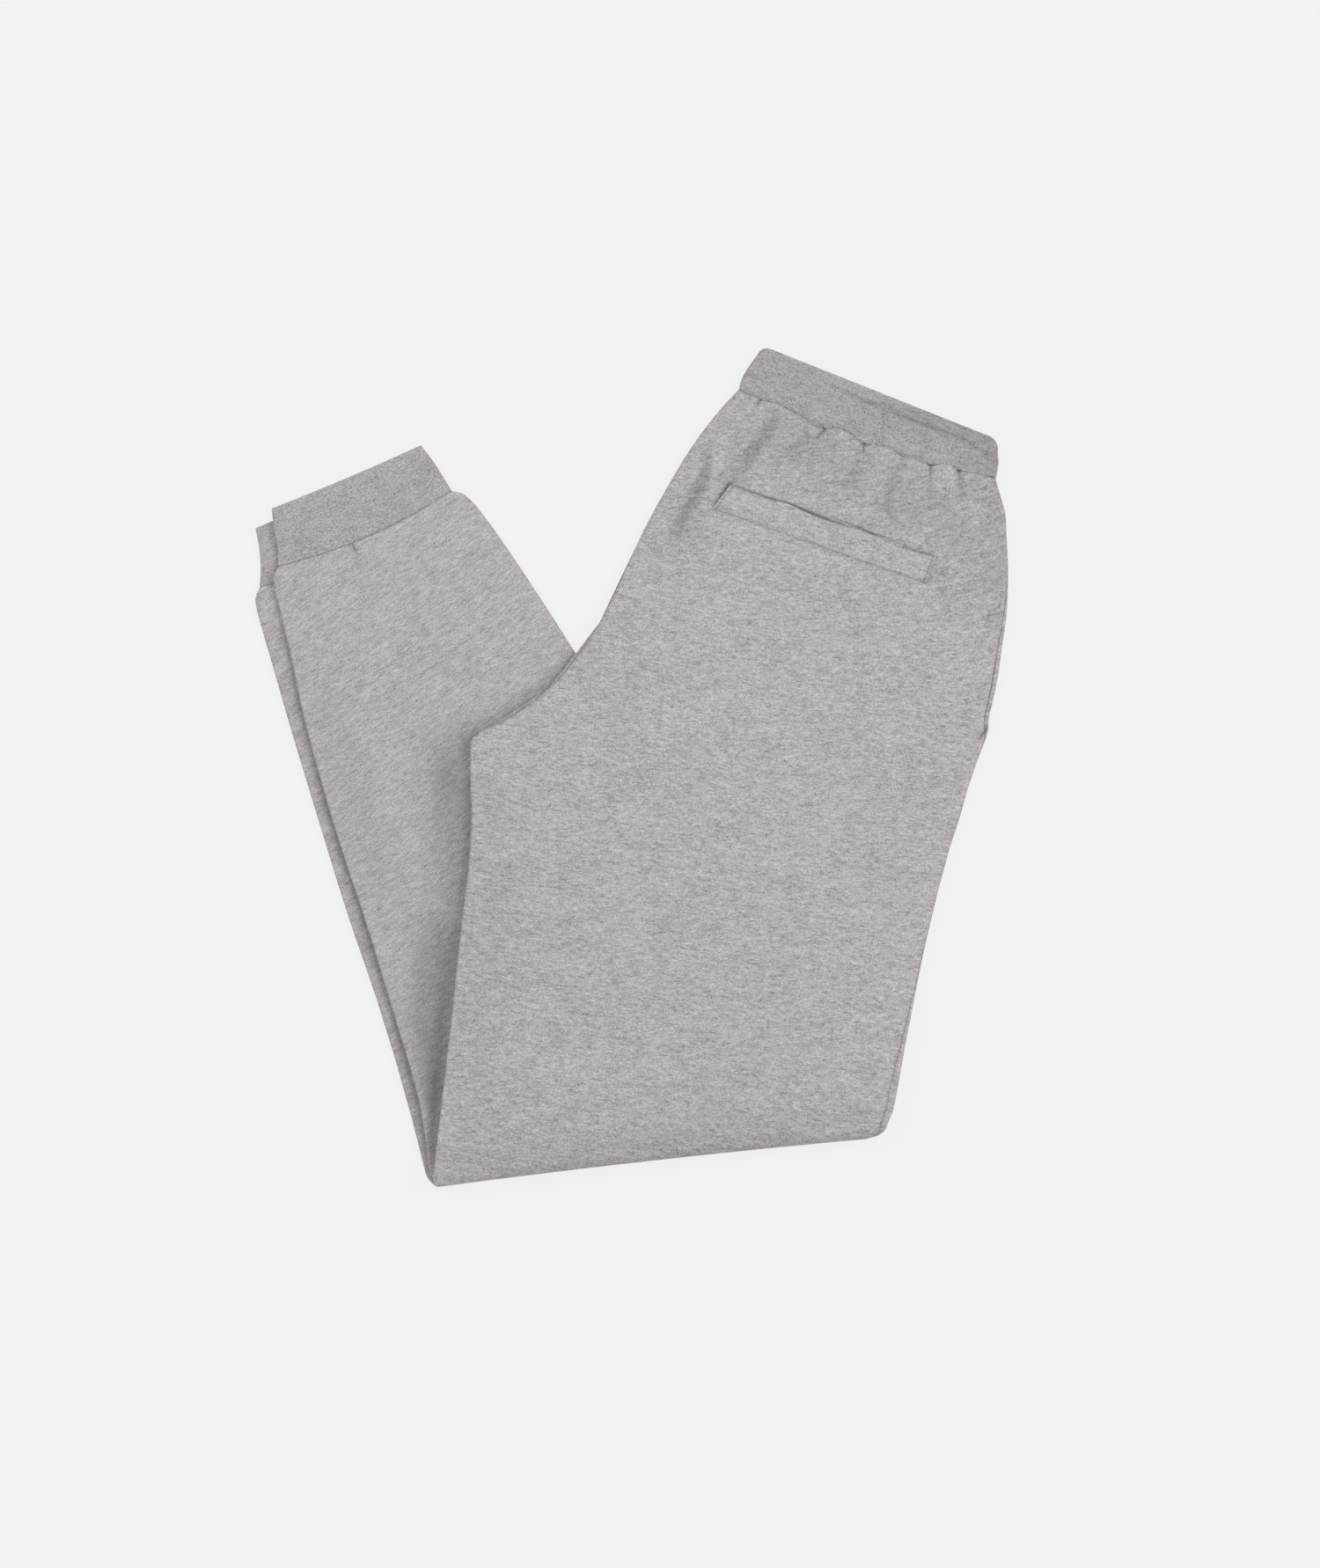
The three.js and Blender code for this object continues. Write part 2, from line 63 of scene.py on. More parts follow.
# Knee fold
FOLD_EDGE = np.array([-136.0, -286.1])
FOLD_ANGLE = math.radians(6.35)
FOLD_BOW = -1.8
FOLD_OUTWARD = np.array([math.sin(FOLD_ANGLE), -math.cos(FOLD_ANGLE)])
FOLD_START = FOLD_EDGE - FOLD_OUTWARD * FOLD_HEIGHT
CORNER_IN = 4.0
CORNER_OUT = 16.0
CORNER_BEND = 0.97

# Rims and how the upper half comes down past the lower legs
RIM = 1.5
RIM_LEAST = 0.28
MARGIN = 12.0
LIP = 3.8
DROP_START = 8.0
DROP_END = 110.0

# Strip of the right front beyond the right back: its raised edge and how it narrows round the fold
STRIP_LEAST = 0.5
STRIP_RISE = 0.55
STRIP_HIGHEST = 1.7
STRIP_SQUARENESS = 3.5
STRIP_FOLD_LOSS = 0.75

# Fullness of the lower leg before its cuff seam
FULLNESS = 0.7
FULLNESS_AT = 12.0
FULLNESS_REACH = 9.0

# The knit's direction on the upper half and on the lower legs, and its bend towards the waist
COURSES = -5.0
LOWER_COURSES = 33.0
COURSE_BEND_FROM = 120.0
COURSE_BEND = 1 / 900
COURSE_LEAN = 0.001
LAYER_OFFSET = 40.0

# Strength of a crease along its line, and its profile
FADE_POWER = 0.45
SWELL_POWER = 0.6
SWELL_FROM = 0.08
SOFT_POWER = 2.0
SHARP_POWER = 1.3
# Most painted shade that the creases at one point may give together
DARKEST = 0.65

FOLD_ROWS = 17
LEAST_WALL = 0.2
SEED = 7


class Slot(Enum):
    """Material slots of the record."""

    SWEAT = "sweat_cloth"
    RIB = "rib_cloth"


class Side(Enum):
    """Which leg a panel belongs to."""

    LEFT = "left"
    RIGHT = "right"


@dataclass(frozen=True)
class Section:
    """A section across a panel or a band, from its seat-seam end to its side-seam end.

    Attributes:
        in_x: X of its inner end.
        in_y: Y of its inner end.
        out_x: X of its outer end.
        out_y: Y of its outer end.
        bow: How far its middle hangs towards the fold.
        lip: Share of a layer by which the backs turn to meet round the fronts.
        tuck: How much shorter the front is at its inner end.
        show: How far the right front shows beyond the right back.
        droop: How far the left leg's outer edge hangs down.
    """

    in_x: float
    in_y: float
    out_x: float
    out_y: float
    bow: float = 0.0
    lip: float = 0.0
    tuck: float = 0.0
    show: float = 0.4
    droop: float = 0.0


COLUMN = {item.name: index for index, item in enumerate(fields(Section))}

SEAT_SECTIONS = (
    Section(72.8, 256, 247.7, 196, bow=5, lip=1, tuck=4.2),
    Section(64, 247, 251, 184, bow=5.5, lip=1, tuck=4.2),
    Section(53, 234, 254, 174, bow=5, lip=1, tuck=4.2),
    Section(40, 216, 255, 159, bow=3, lip=1, tuck=4.2),
    Section(26, 193, 256, 139, bow=1, lip=1, tuck=4.2),
    Section(9, 162, 256, 120, lip=1, tuck=4.2, show=1.2),
    Section(-7, 127, 255, 102, lip=1, tuck=4.2, show=2.2),
    Section(-22, 97, 252, 81, lip=1, tuck=4.2, show=3),
    Section(-37, 74, 249, 60, lip=1, tuck=4.2, show=3.4),
    Section(-57, 52, 245, 41, lip=1, tuck=4.2, show=3.2),
    Section(-73.5, 39.2, 242.8, 32, lip=1, tuck=4.2, show=3),
    Section(-79, 35.4, 242.7, 25.5, lip=1, tuck=4.2, show=2.6),
    Section(-84.5, 32.3, 241.5, 20.3, lip=1, tuck=4.2, show=1.6),
    Section(-91, 29, 239.2, 14.4, lip=1, tuck=4.2, show=0.8),
    Section(-100, 25, 236, 6, lip=1, tuck=4.2),
    Section(-109, 18, 230, -11, tuck=4.2),
    Section(-109, -8, 224, -32),
    Section(-108, -38, 214, -63),
    Section(-111, -75, 206, -95),
    Section(-116, -115, 198, -129, show=0.8),
    Section(-120, -155, 191, -163, show=2),
    Section(-124, -190, 185, -193, show=3.6),
    Section(-128, -225, 181, -215, show=5.4),
    Section(-131.5, -255, 177, -234, show=5.4),
)
CROTCH = 15

SHANK_SECTIONS = {
    Side.LEFT: (
        Section(-143, -234, 136, -189),
        Section(-162, -166, 78, -100),
        Section(-183, -98, 21, -12),
        Section(-205, -30, -28, 62, droop=0.8),
        Section(-224, 40, -64, 118, droop=2.2),
        Section(-232, 78, -84, 148, bow=2, droop=2.4),
        Section(-239, 107, -99, 169, bow=4, droop=2.4),
        Section(-243, 124, -110, 182, bow=5, droop=1.8),
        Section(-242.6, 131.4, -116, 186.3, bow=5.6),
        Section(-240, 136, -122, 187.5, bow=6),
    ),
    Side.RIGHT: (
        Section(-151, -234, 132, -191),
        Section(-171, -166, 72, -103),
        Section(-194, -98, 12, -17),
        Section(-215, -30, -38, 56),
        Section(-236, 40, -76, 113),
        Section(-247, 79, -95, 140, bow=2),
        Section(-254, 103, -109, 157, bow=4),
        Section(-256, 115.5, -119, 168, bow=5),
        Section(-253, 122, -132, 174.5, bow=6),
    ),
}
FOLD_ENDS = {"seat": (-134, 173.5), Side.LEFT: (-137, 170), Side.RIGHT: (-140, 170)}


def smoothstep(value: np.ndarray, start: float, end: float) -> np.ndarray:
    """Eases from 0 at start to 1 at end.

    Args:
        value: Numbers to ease.
        start: Where the ease begins.
        end: Where it ends.

    Returns:
        The eased share of each number.
    """
    share = np.clip((np.asarray(value, float) - start) / (end - start), 0, 1)
    return share * share * (3 - 2 * share)


def fold_section(ends: tuple, show: float = 0.0) -> Section:
    """A section that lies on the axis of the knee fold.

    Args:
        ends: X of its two ends.
        show: How far the right front shows beyond the right back.

    Returns:
        The section, with its Y worked out along the axis.
    """
    slope = math.tan(FOLD_ANGLE)
    low, high = (FOLD_START[1] + (x - FOLD_START[0]) * slope for x in ends)
    return Section(ends[0], low, ends[1], high, bow=FOLD_BOW, show=show)


@dataclass
class Track:
    """Sections joined by smooth edges.

    Attributes:
        sections: The sections in order.
        corner: Index of a section whose inner edge turns sharply, or None.
        keys: Place of each section, or None for its distance along the middle of the panel.
    """

    sections: tuple
    corner: int | None = None
    keys: np.ndarray | None = None

    def __post_init__(self) -> None:
        """Works out the places of the sections where they aren't given."""
        self.table = np.array([astuple(item) for item in self.sections], float)
        if self.keys is None:
            middle = (self.table[:, 0:2] + self.table[:, 2:4]) / 2
            steps = np.linalg.norm(np.diff(middle, axis=0), axis=1)
            self.keys = np.concatenate([[0.0], np.cumsum(steps)])

    @property
    def length(self) -> float:
        """Length along the middle of the panel."""
        return float(self.keys[-1])

    def sample(self, at: np.ndarray) -> np.ndarray:
        """Interpolates all columns of the sections.

        Args:
            at: Places along the track.

        Returns:
            One row of section values for each place.
        """
        step = np.diff(self.keys)[:, None]
        rate = np.diff(self.table, axis=0) / step
        slope = np.vstack([rate[:1], np.zeros_like(rate[1:]), rate[-1:]])
        slope[1:-1] = (step[:-1] * rate[1:] + step[1:] * rate[:-1]) / (step[:-1] + step[1:])
        arriving, leaving = slope.copy(), slope
        if self.corner is not None:
            arriving[self.corner, :2] = rate[self.corner - 1, :2]
            leaving[self.corner, :2] = rate[self.corner, :2]
        index = np.clip(np.searchsorted(self.keys, at, side="right") - 1, 0, len(rate) - 1)
        width = step[index]
        u = (np.asarray(at)[:, None] - self.keys[index][:, None]) / width
        start, end = self.table[index], self.table[index + 1]
        values = (
            (2 * u**3 - 3 * u**2 + 1) * start
            + (u**3 - 2 * u**2 + u) * width * leaving[index]
            + (3 * u**2 - 2 * u**3) * end
            + (u**3 - u**2) * width * arriving[index + 1]
        )
        for name in ("lip", "tuck", "show", "droop"):
            values[:, COLUMN[name]] = np.maximum(values[:, COLUMN[name]], 0)
        return values


SEAT = Track((*SEAT_SECTIONS, fold_section(FOLD_ENDS["seat"], 5.0)), corner=CROTCH)
SHANK = {side: Track((fold_section(FOLD_ENDS[side]), *rows)) for side, rows in SHANK_SECTIONS.items()}


@dataclass(frozen=True)
class Crease:
    """A trough along a bent line, or a ridge where its depth is negative, with painted shade; where its
    depth is nought it is painted shade alone.

    Attributes:
        line: Points that it follows.
        depth: Depth at its deepest.
        half: Half width at its start and at its end.
        fades: True where it is deepest at its start and fades to its end.
        shade: Painted shade: share of light that its deepest place keeps from the cloth, painted into its
            colour.
        sharp: True for a pinched crease or a sewn line, False for a soft fold.
    """

    line: tuple
    depth: float
    half: tuple
    fades: bool = False
    shade: float = 0.0
    sharp: bool = False

    def at(self, x: np.ndarray, y: np.ndarray) -> np.ndarray:
        """How much of the crease there is at points of the plan.

        Args:
            x: X of the points.
            y: Y of the points.

        Returns:
            Nought to one at each point.
        """
        points = np.array(self.line, float)
        lengths = np.linalg.norm(np.diff(points, axis=0), axis=1)
        total = lengths.sum()
        nearest = np.full(np.shape(x), np.inf)
        share = np.zeros(np.shape(x))
        walked = 0.0
        for start, end, length in zip(points[:-1], points[1:], lengths):
            along = (end - start) / length
            reach = (x - start[0]) * along[0] + (y - start[1]) * along[1]
            place = np.clip(reach, 0, length)
            away = np.hypot(x - start[0] - along[0] * place, y - start[1] - along[1] * place)
            closer = away < nearest
            nearest = np.where(closer, away, nearest)
            share = np.where(closer, (walked + place) / total, share)
            walked += length
        half = self.half[0] + (self.half[1] - self.half[0]) * share
        swell = np.sin(math.pi * (SWELL_FROM + (1 - 2 * SWELL_FROM) * share)) ** SWELL_POWER
        strength = (1 - share) ** FADE_POWER if self.fades else swell
        return strength * np.exp(-((nearest / half) ** (SHARP_POWER if self.sharp else SOFT_POWER)))


@dataclass(frozen=True)
class Puff:
    """A soft swelling of the cloth, such as the fullness between two gathers.

    Attributes:
        x: X of its middle.
        y: Y of its middle.
        height: Height in its middle.
        wide: Half width along its turned direction.
        deep: Half width across it.
        turn: Direction of its width, in degrees.
    """

    x: float
    y: float
    height: float
    wide: float
    deep: float
    turn: float = 0.0

    def at(self, x: np.ndarray, y: np.ndarray) -> np.ndarray:
        """Height of the swelling at points of the plan.

        Args:
            x: X of the points.
            y: Y of the points.

        Returns:
            The height at each point.
        """
        angle = math.radians(self.turn)
        along = (x - self.x) * math.cos(angle) + (y - self.y) * math.sin(angle)
        across = (y - self.y) * math.cos(angle) - (x - self.x) * math.sin(angle)
        return self.height * np.exp(-((along / self.wide) ** 2) - (across / self.deep) ** 2)


# Short creases where the cloth is gathered into the waist seam, and the folds that run on from them, with
# painted shade in them
WAIST_CREASES = (
    Crease(((89, 250.5), (86.5, 247.5), (84.5, 243)), 1.7, (1.1, 0.8), fades=True, shade=0.5, sharp=True),
    Crease(((119.4, 234.5), (125, 231.5), (132, 229.8)), 1.4, (0.9, 0.9), shade=0.34, sharp=True),
    Crease(((131.5, 229.5), (126.5, 223.5), (121.5, 220)), 1.7, (1.2, 0.9),
           fades=True, shade=0.5, sharp=True),
    Crease(((118.5, 233.5), (118, 227), (120, 221.5)), 0.8, (1.2, 1.8), shade=0.16),
    Crease(((152, 224), (157, 219.5), (163, 218.7)), 1.2, (0.9, 0.8), shade=0.26, sharp=True),
    Crease(((158.2, 218.6), (157.6, 211.5)), 1.7, (1.3, 0.9), fades=True, shade=0.5, sharp=True),
    Crease(((184.5, 211.5), (183.5, 199)), 1.0, (1.6, 2.2), fades=True, shade=0.2),
    Crease(((203.2, 205.5), (202.8, 197), (202, 192)), 1.7, (1.2, 1.0), fades=True, shade=0.46, sharp=True),
    Crease(((198, 208), (203.2, 205.3), (209, 205.6)), 1.0, (0.9, 0.9), shade=0.2, sharp=True),
    Crease(((222.6, 201.5), (223.5, 188), (225.6, 180)), 1.6, (1.6, 2.4), fades=True, shade=0.34),
    Crease(((225.5, 175), (227, 164)), 0.7, (2.6, 3.4), shade=0.08),
)
# Folds of the seat and hip with their painted shade, and painted shade alone where the hip turns down and
# beside the troughs
HIP_FOLDS_AND_PAINTED_SHADE = (
    Crease(((98, 226), (152, 196), (206, 172), (238, 146), (243, 110)), 0.0, (27.0, 20.0), shade=0.125),
    Crease(((226, 200), (238, 190), (247, 174)), 0.0, (11.0, 11.0), shade=0.11),
    Crease(((74, 212), (60, 188)), 0.0, (8.0, 9.0), shade=0.08),
    Crease(((92, 226), (112, 218), (140, 206)), 0.0, (16.0, 14.0), shade=0.06),
    Crease(((44, 182), (34, 160), (26, 130)), 0.0, (16.0, 18.0), shade=0.06),
    Crease(((246, 186), (251, 160), (251, 128), (249, 104)), 1.3, (9.0, 8.0), shade=0.07),
    Crease(((98, 240), (93, 229), (85, 217), (76.5, 203.5), (68, 193)), 2.4, (4.0, 5.8), shade=0.27),
    Crease(((52, 210), (49, 196), (42, 182), (36, 172), (31, 160)), 2.4, (3.4, 4.8), shade=0.36),
    Crease(((50, 178), (42, 160), (32, 146)), 0.5, (7.0, 9.0), shade=0.05),
    Crease(((17, 177.5), (33, 174.5)), 0.5, (1.5, 1.5), shade=0.06),
    Crease(((-9, 104), (-1, 96)), 0.6, (4.0, 4.5), shade=0.1),
    Crease(((113, 226), (101, 208), (92, 198)), 0.8, (4.0, 5.0), shade=0.06),
    Crease(((118, 224), (112, 217), (110, 209)), 0.9, (3.4, 4.6), shade=0.12),
    Crease(((158, 209), (152, 199), (146, 191)), 1.1, (3.4, 5.0), shade=0.12),
    Crease(((180, 205), (178, 192), (172, 178), (176, 167)), 1.2, (3.6, 5.0), shade=0.12),
    Crease(((202, 191), (204, 180)), 0.9, (3.6, 4.4), shade=0.1),
    Crease(((213, 142), (211, 126), (210, 110)), 1.1, (4.0, 5.5), shade=0.1),
    Crease(((8, 96), (-10, 42)), 0.8, (9.0, 12.0), shade=0.03),
)
# Long soft folds of the thigh, and painted shade along the seat's inner edge and above the knee fold
THIGH_FOLDS_AND_PAINTED_SHADE = (
    Crease(((-60, 18), (20, -40), (90, -120)), 0.4, (18.0, 24.0)),
    Crease(((150, 30), (120, -60)), 0.4, (20.0, 26.0)),
    Crease(((-70, -130), (30, -180)), 0.35, (18.0, 22.0)),
    Crease(((-92, 0), (-94, -90), (-108, -230)), 0.3, (14.0, 18.0), shade=0.05),
    Crease(((-150, -275), (0, -259), (190, -238)), 0.0, (16.0, 14.0), shade=0.12),
)
WAIST_PUFFS = (
    Puff(80, 244, 1.1, 5, 9, -19),
    Puff(105, 235, 1.5, 10, 10, -19),
    Puff(124, 226.5, 0.7, 4, 6, -19),
    Puff(144, 217, 2.0, 10, 12, -19),
    Puff(170, 207, 1.7, 8, 11, -19),
    Puff(192, 200, 1.6, 7, 11, -19),
    Puff(211, 195, 1.8, 7, 11, -15),
    Puff(235, 190, 1.4, 8, 13, -12),
    Puff(84, 196, 0.9, 9, 12, 50),
    Puff(60, 214, 0.9, 9, 16, -30),
)
# Soft folds of the lower leg with their painted shade, and painted shadow where the upper half stands over
# it by the crotch and along the seat's inner edge
SHANK_FOLDS_AND_PAINTED_SHADOWS = (
    Crease(((-222, 76), (-206, 30), (-190, -14), (-168, -100)), 1.2, (9.0, 15.0), shade=0.07),
    Crease(((-126, 118), (-150, 62), (-158, 20)), 0.6, (10.0, 14.0), shade=0.02),
    Crease(((-112, 12), (-117, -30), (-121, -84), (-127, -120)), 0.5, (21.0, 14.0), shade=0.29),
    Crease(((-116, 17), (-127, 8), (-128, -26)), 0.3, (11.0, 12.0), shade=0.2),
    Crease(((-124, -118), (-129, -165), (-133, -215), (-136, -270)), 1.6, (10.0, 4.6), shade=0.5),
    Crease(((-138, -110), (-144, -175), (-138, -232)), 0.7, (12.0, 6.0), shade=0.3),
    Crease(((-112, 20), (-98, 29), (-76, 42), (-54, 60), (-40, 78)), 0.5, (6.0, 5.0), shade=0.22),
)
# Painted shadow on the right front's strip where the left leg's edge stands over it
STRIP_PAINTED_SHADOW = Crease(
    ((-124, -300), (-141, -244), (-160, -166), (-181, -98), (-203, -30), (-222, 40), (-230, 78),
     (-237, 107)),
    0.0, (7.5, 7.0), shade=0.42,
)
CUFF_TICKS = (
    Crease(((-189.6, 151), (-186, 143.8)), 1.2, (0.8, 0.7), fades=True, shade=0.5, sharp=True),
    Crease(((-192, 150), (-188.6, 144.5)), 0.7, (0.7, 0.6), fades=True, shade=0.22, sharp=True),
)

# Lower end of the side pocket's slit, with painted shade in its gap
SLIT = Crease(((242.6, 28.0), (239.5, 23.0), (235.6, 18.0)), 1.5, (1.0, 0.9), shade=0.72, sharp=True)

# Back pocket: its mouth's upper edge, the welt's corners and the lines pressed round it, with painted shade
# in the lines and on the facing
MOUTH_UPPER = (
    (80.7, 185.7), (93, 182), (107, 179.1), (130.5, 171.3), (155, 164.7), (176, 156.9), (182, 154.2),
    (190, 149),
)
WELT_TOP = (
    (66.9, 191.1), (80.7, 185.7), (93, 182), (107.1, 178.4), (126.3, 169.2), (152.7, 161.1),
    (165.3, 156.9), (178.5, 150.8), (191.7, 145.8), (207.3, 142.5),
)
WELT_LOW = ((55, 175.5), (200.5, 124.5))
POCKET_LINES = (
    Crease(((135, 169.8), (149.7, 164.1), (161.7, 158.7), (173.7, 155.1), (185.7, 149.7)), 1.2, (0.7, 0.6),
           shade=0.26, sharp=True),
    Crease(((66.9, 192), (80, 187), (92, 182.4)), 1.2, (0.7, 0.8), shade=0.34, sharp=True),
    Crease(((90, 183.2), (103.5, 179), (109.5, 177.2), (121.5, 172.2), (135.3, 166.4), (149, 160.9)), 1.9,
           (0.8, 0.8), shade=0.55, sharp=True),
    Crease(((138, 165.8), (153.3, 159.6), (167.7, 154.4), (177.5, 149.9), (186, 147.6)), 1.3, (0.8, 0.7),
           shade=0.34, sharp=True),
    Crease(((185, 150), (195.3, 145.5), (205.5, 143)), 1.2, (1.4, 0.8), shade=0.3, sharp=True),
    Crease(((66.9, 192.4), (61, 184.4), (54.5, 175.6)), 2.0, (1.2, 0.8), shade=0.72, fades=True, sharp=True),
    Crease(((54.5, 174.9), (200.6, 123.8)), 0.4, (0.5, 0.5), shade=0.16, sharp=True),
    Crease(((208.0, 142.6), (205.6, 131.8), (201, 124)), 0.9, (0.6, 0.6), shade=0.32, sharp=True),
    SLIT,
)
FACING = Crease(
    ((112, 174.5), (128, 170.3), (153, 161), (170, 154.8), (180, 151)), 0.7, (1.5, 1.5), shade=0.04,
)
MOUTH_LIP = Crease(tuple((x + 1.2, y + 3.4) for x, y in MOUTH_UPPER), -0.7, (3.0, 3.0))

# The waist seam's scallops: share of the way across, and how far the seam rises towards the band
SCALLOPS = (
    (0, 0.6), (0.04, 0.1), (0.093, 0.5), (0.15, 1.8), (0.276, -0.1), (0.344, -1.0), (0.404, 1.8),
    (0.466, 0.2), (0.513, -1.2), (0.585, 0.65), (0.651, -1.8), (0.755, -1.8), (0.815, 0.7), (0.867, -0.5),
    (0.939, 0.3), (1, 0.3),
)


def scallop(share: np.ndarray) -> np.ndarray:
    """How far the waist seam rises towards the band.

    Args:
        share: Shares of the way across from the seat seam.

    Returns:
        The rise in millimetres.
    """
    places, rises = np.array(SCALLOPS).T
    index = np.clip(np.searchsorted(places, share, side="right") - 1, 0, len(places) - 2)
    return rises[index] + (rises[index + 1] - rises[index]) * smoothstep(
        (share - places[index]) / (places[index + 1] - places[index]), 0, 1
    )


@dataclass(frozen=True)
class Undulation:
    """Slight unevenness of cloth lying loose, as a sum of long waves.

    Attributes:
        height: Height of the largest wave.
        longest: Its length.
        waves: How many waves are summed.
        seed: Start of the random directions.
    """

    height: float
    longest: float
    waves: int
    seed: int

    def at(self, x: np.ndarray, y: np.ndarray) -> np.ndarray:
        """Height of the waves at points of the plan.

        Args:
            x: X of the points.
            y: Y of the points.

        Returns:
            The height at each point.
        """
        draw = np.random.default_rng(self.seed)
        total = np.zeros(np.shape(x))
        for index in range(self.waves):
            length = self.longest / (1 + 0.45 * index)
            angle = draw.uniform(0, 2 * math.pi)
            phase = draw.uniform(0, 2 * math.pi)
            along = (x * math.cos(angle) + y * math.sin(angle)) / length
            total += self.height / (1 + 0.5 * index) * np.sin(2 * math.pi * along + phase)
        return total


SEAT_WAVES = Undulation(height=0.3, longest=150, waves=7, seed=SEED)
SHANK_WAVES = Undulation(height=0.3, longest=120, waves=6, seed=SEED + 1)
LOFT = 1.3
LOFT_REACH = 18.0


def drop_at(x: np.ndarray, y: np.ndarray) -> np.ndarray:
    """How far the upper half has come down past the lower left leg's edge.

    Args:
        x: X of the points.
        y: Y of the points.

    Returns:
        The height lost at each point.
    """
    rows = SHANK_SECTIONS[Side.LEFT]
    low = fold_section(FOLD_ENDS[Side.LEFT])
    start = np.array([rows[6].out_x, rows[6].out_y])
    along = np.array([low.out_x, low.out_y]) - start
    along /= np.linalg.norm(along)
    past = (x - start[0]) * -along[1] + (y - start[1]) * along[0]
    return STACK * smoothstep(past, DROP_START, DROP_END)


@dataclass(frozen=True)
class Relief:
    """Puffs, soft folds and sharp lines of one face of the cloth, with the shade painted in them.

    Attributes:
        puffs: Swellings.
        folds: Soft folds.
        lines: Pinched creases and sewn lines.
    """

    puffs: tuple
    folds: tuple
    lines: tuple

    def height(self, x: np.ndarray, y: np.ndarray, from_edge: np.ndarray) -> np.ndarray:
        """Height of the face above its plain form.

        Args:
            x: X of the points.
            y: Y of the points.
            from_edge: Their distance from the piece's nearest long edge.

        Returns:
            The height at each point, negative in a crease.
        """
        soft = sum(puff.at(x, y) for puff in self.puffs)
        soft = soft - sum(fold.depth * fold.at(x, y) for fold in self.folds)
        sharp = sum(line.depth * line.at(x, y) for line in self.lines)
        return soft * smoothstep(from_edge, 0.5, 7) - sharp * smoothstep(from_edge, 0, 1.5)

    def shade(self, x: np.ndarray, y: np.ndarray) -> np.ndarray:
        """Painted shade: share of light kept from the cloth in its creases, painted into its colour.

        Args:
            x: X of the points.
            y: Y of the points.

        Returns:
            The share at each point.
        """
        return np.clip(sum(item.shade * item.at(x, y) for item in (*self.folds, *self.lines)), 0, DARKEST)


SEAT_RELIEF = Relief(
    WAIST_PUFFS, (*HIP_FOLDS_AND_PAINTED_SHADE, *THIGH_FOLDS_AND_PAINTED_SHADE, FACING, MOUTH_LIP), (*WAIST_CREASES, *POCKET_LINES)
)
SHANK_RELIEF = Relief((), SHANK_FOLDS_AND_PAINTED_SHADOWS, CUFF_TICKS)
STRIP_RELIEF = Relief((), (STRIP_PAINTED_SHADOW,), (SLIT,))
DEEPEST = 1.75

# Rows and columns of a panel's seen face for one of its hidden face
HIDDEN_STEPS = (4, 3)
STRIP_HIDDEN_STEPS = (2, 1)


def seat_top(x: np.ndarray, y: np.ndarray) -> np.ndarray:
    """Height of the right back's outer face, away from its rims and its pocket lines.

    Args:
        x: X of the points.
        y: Y of the points.

    Returns:
        The height at each point.
    """
    plain = 2 * STACK - GAP - drop_at(x, y) + LOFT + SEAT_WAVES.at(x, y)
    return plain - sum(fold.depth * fold.at(x, y) for fold in HIP_FOLDS_AND_PAINTED_SHADE) + sum(
        puff.at(x, y) for puff in WAIST_PUFFS
    )


def rotated(x: np.ndarray, y: np.ndarray, degrees: float) -> tuple:
    """Coordinates along and across a direction.

    Args:
        x: X of the points.
        y: Y of the points.
        degrees: The direction.

    Returns:
        Distance along it and across it.
    """
    angle = math.radians(degrees)
    return x * math.cos(angle) + y * math.sin(angle), y * math.cos(angle) - x * math.sin(angle)


def make_mesh(
    name: str, points: np.ndarray, faces: list, cloth: np.ndarray, shade: np.ndarray
) -> bpy.types.Object:
    """Makes a smooth closed mesh object.

    Args:
        name: Name of the object.
        points: Vertices in millimetres.
        faces: Faces as lists of vertex indices.
        cloth: For each vertex, its place on the flat cloth in millimetres.
        shade: For each vertex, the painted shade: share of light kept from it in a crease, painted into its
            colour.

    Returns:
        The object, linked to the scene.
    """
    mesh = bpy.data.meshes.new(name)
    mesh.from_pydata((points * MM).tolist(), [], faces)
    shell = bmesh.new()
    shell.from_mesh(mesh)
    bmesh.ops.recalc_face_normals(shell, faces=shell.faces)
    shell.to_mesh(mesh)
    shell.free()
    place = mesh.attributes.new("cloth", "FLOAT_VECTOR", "POINT")
    place.data.foreach_set("vector", (cloth * MM).astype(np.float32).ravel())
    # Painted shade of creases, seams and shadows, which the material mixes into the colour
    painted_crease_shade = mesh.attributes.new("painted_crease_shade", "FLOAT", "POINT")
    painted_crease_shade.data.foreach_set("value", np.asarray(shade, np.float32).ravel())
    mesh.polygons.foreach_set("use_smooth", [True] * len(mesh.polygons))
    mesh.set_sharp_from_angle(angle=math.radians(60))
    mesh.update()
    piece = bpy.data.objects.new(name, mesh)
    bpy.context.scene.collection.objects.link(piece)
    return piece


def quads_of(index: np.ndarray) -> list:
    """Quads between neighbouring entries of a grid of vertex indices."""
    corners = (index[:-1, :-1], index[:-1, 1:], index[1:, 1:], index[1:, :-1])
    return np.stack(corners, -1).reshape(-1, 4).tolist()


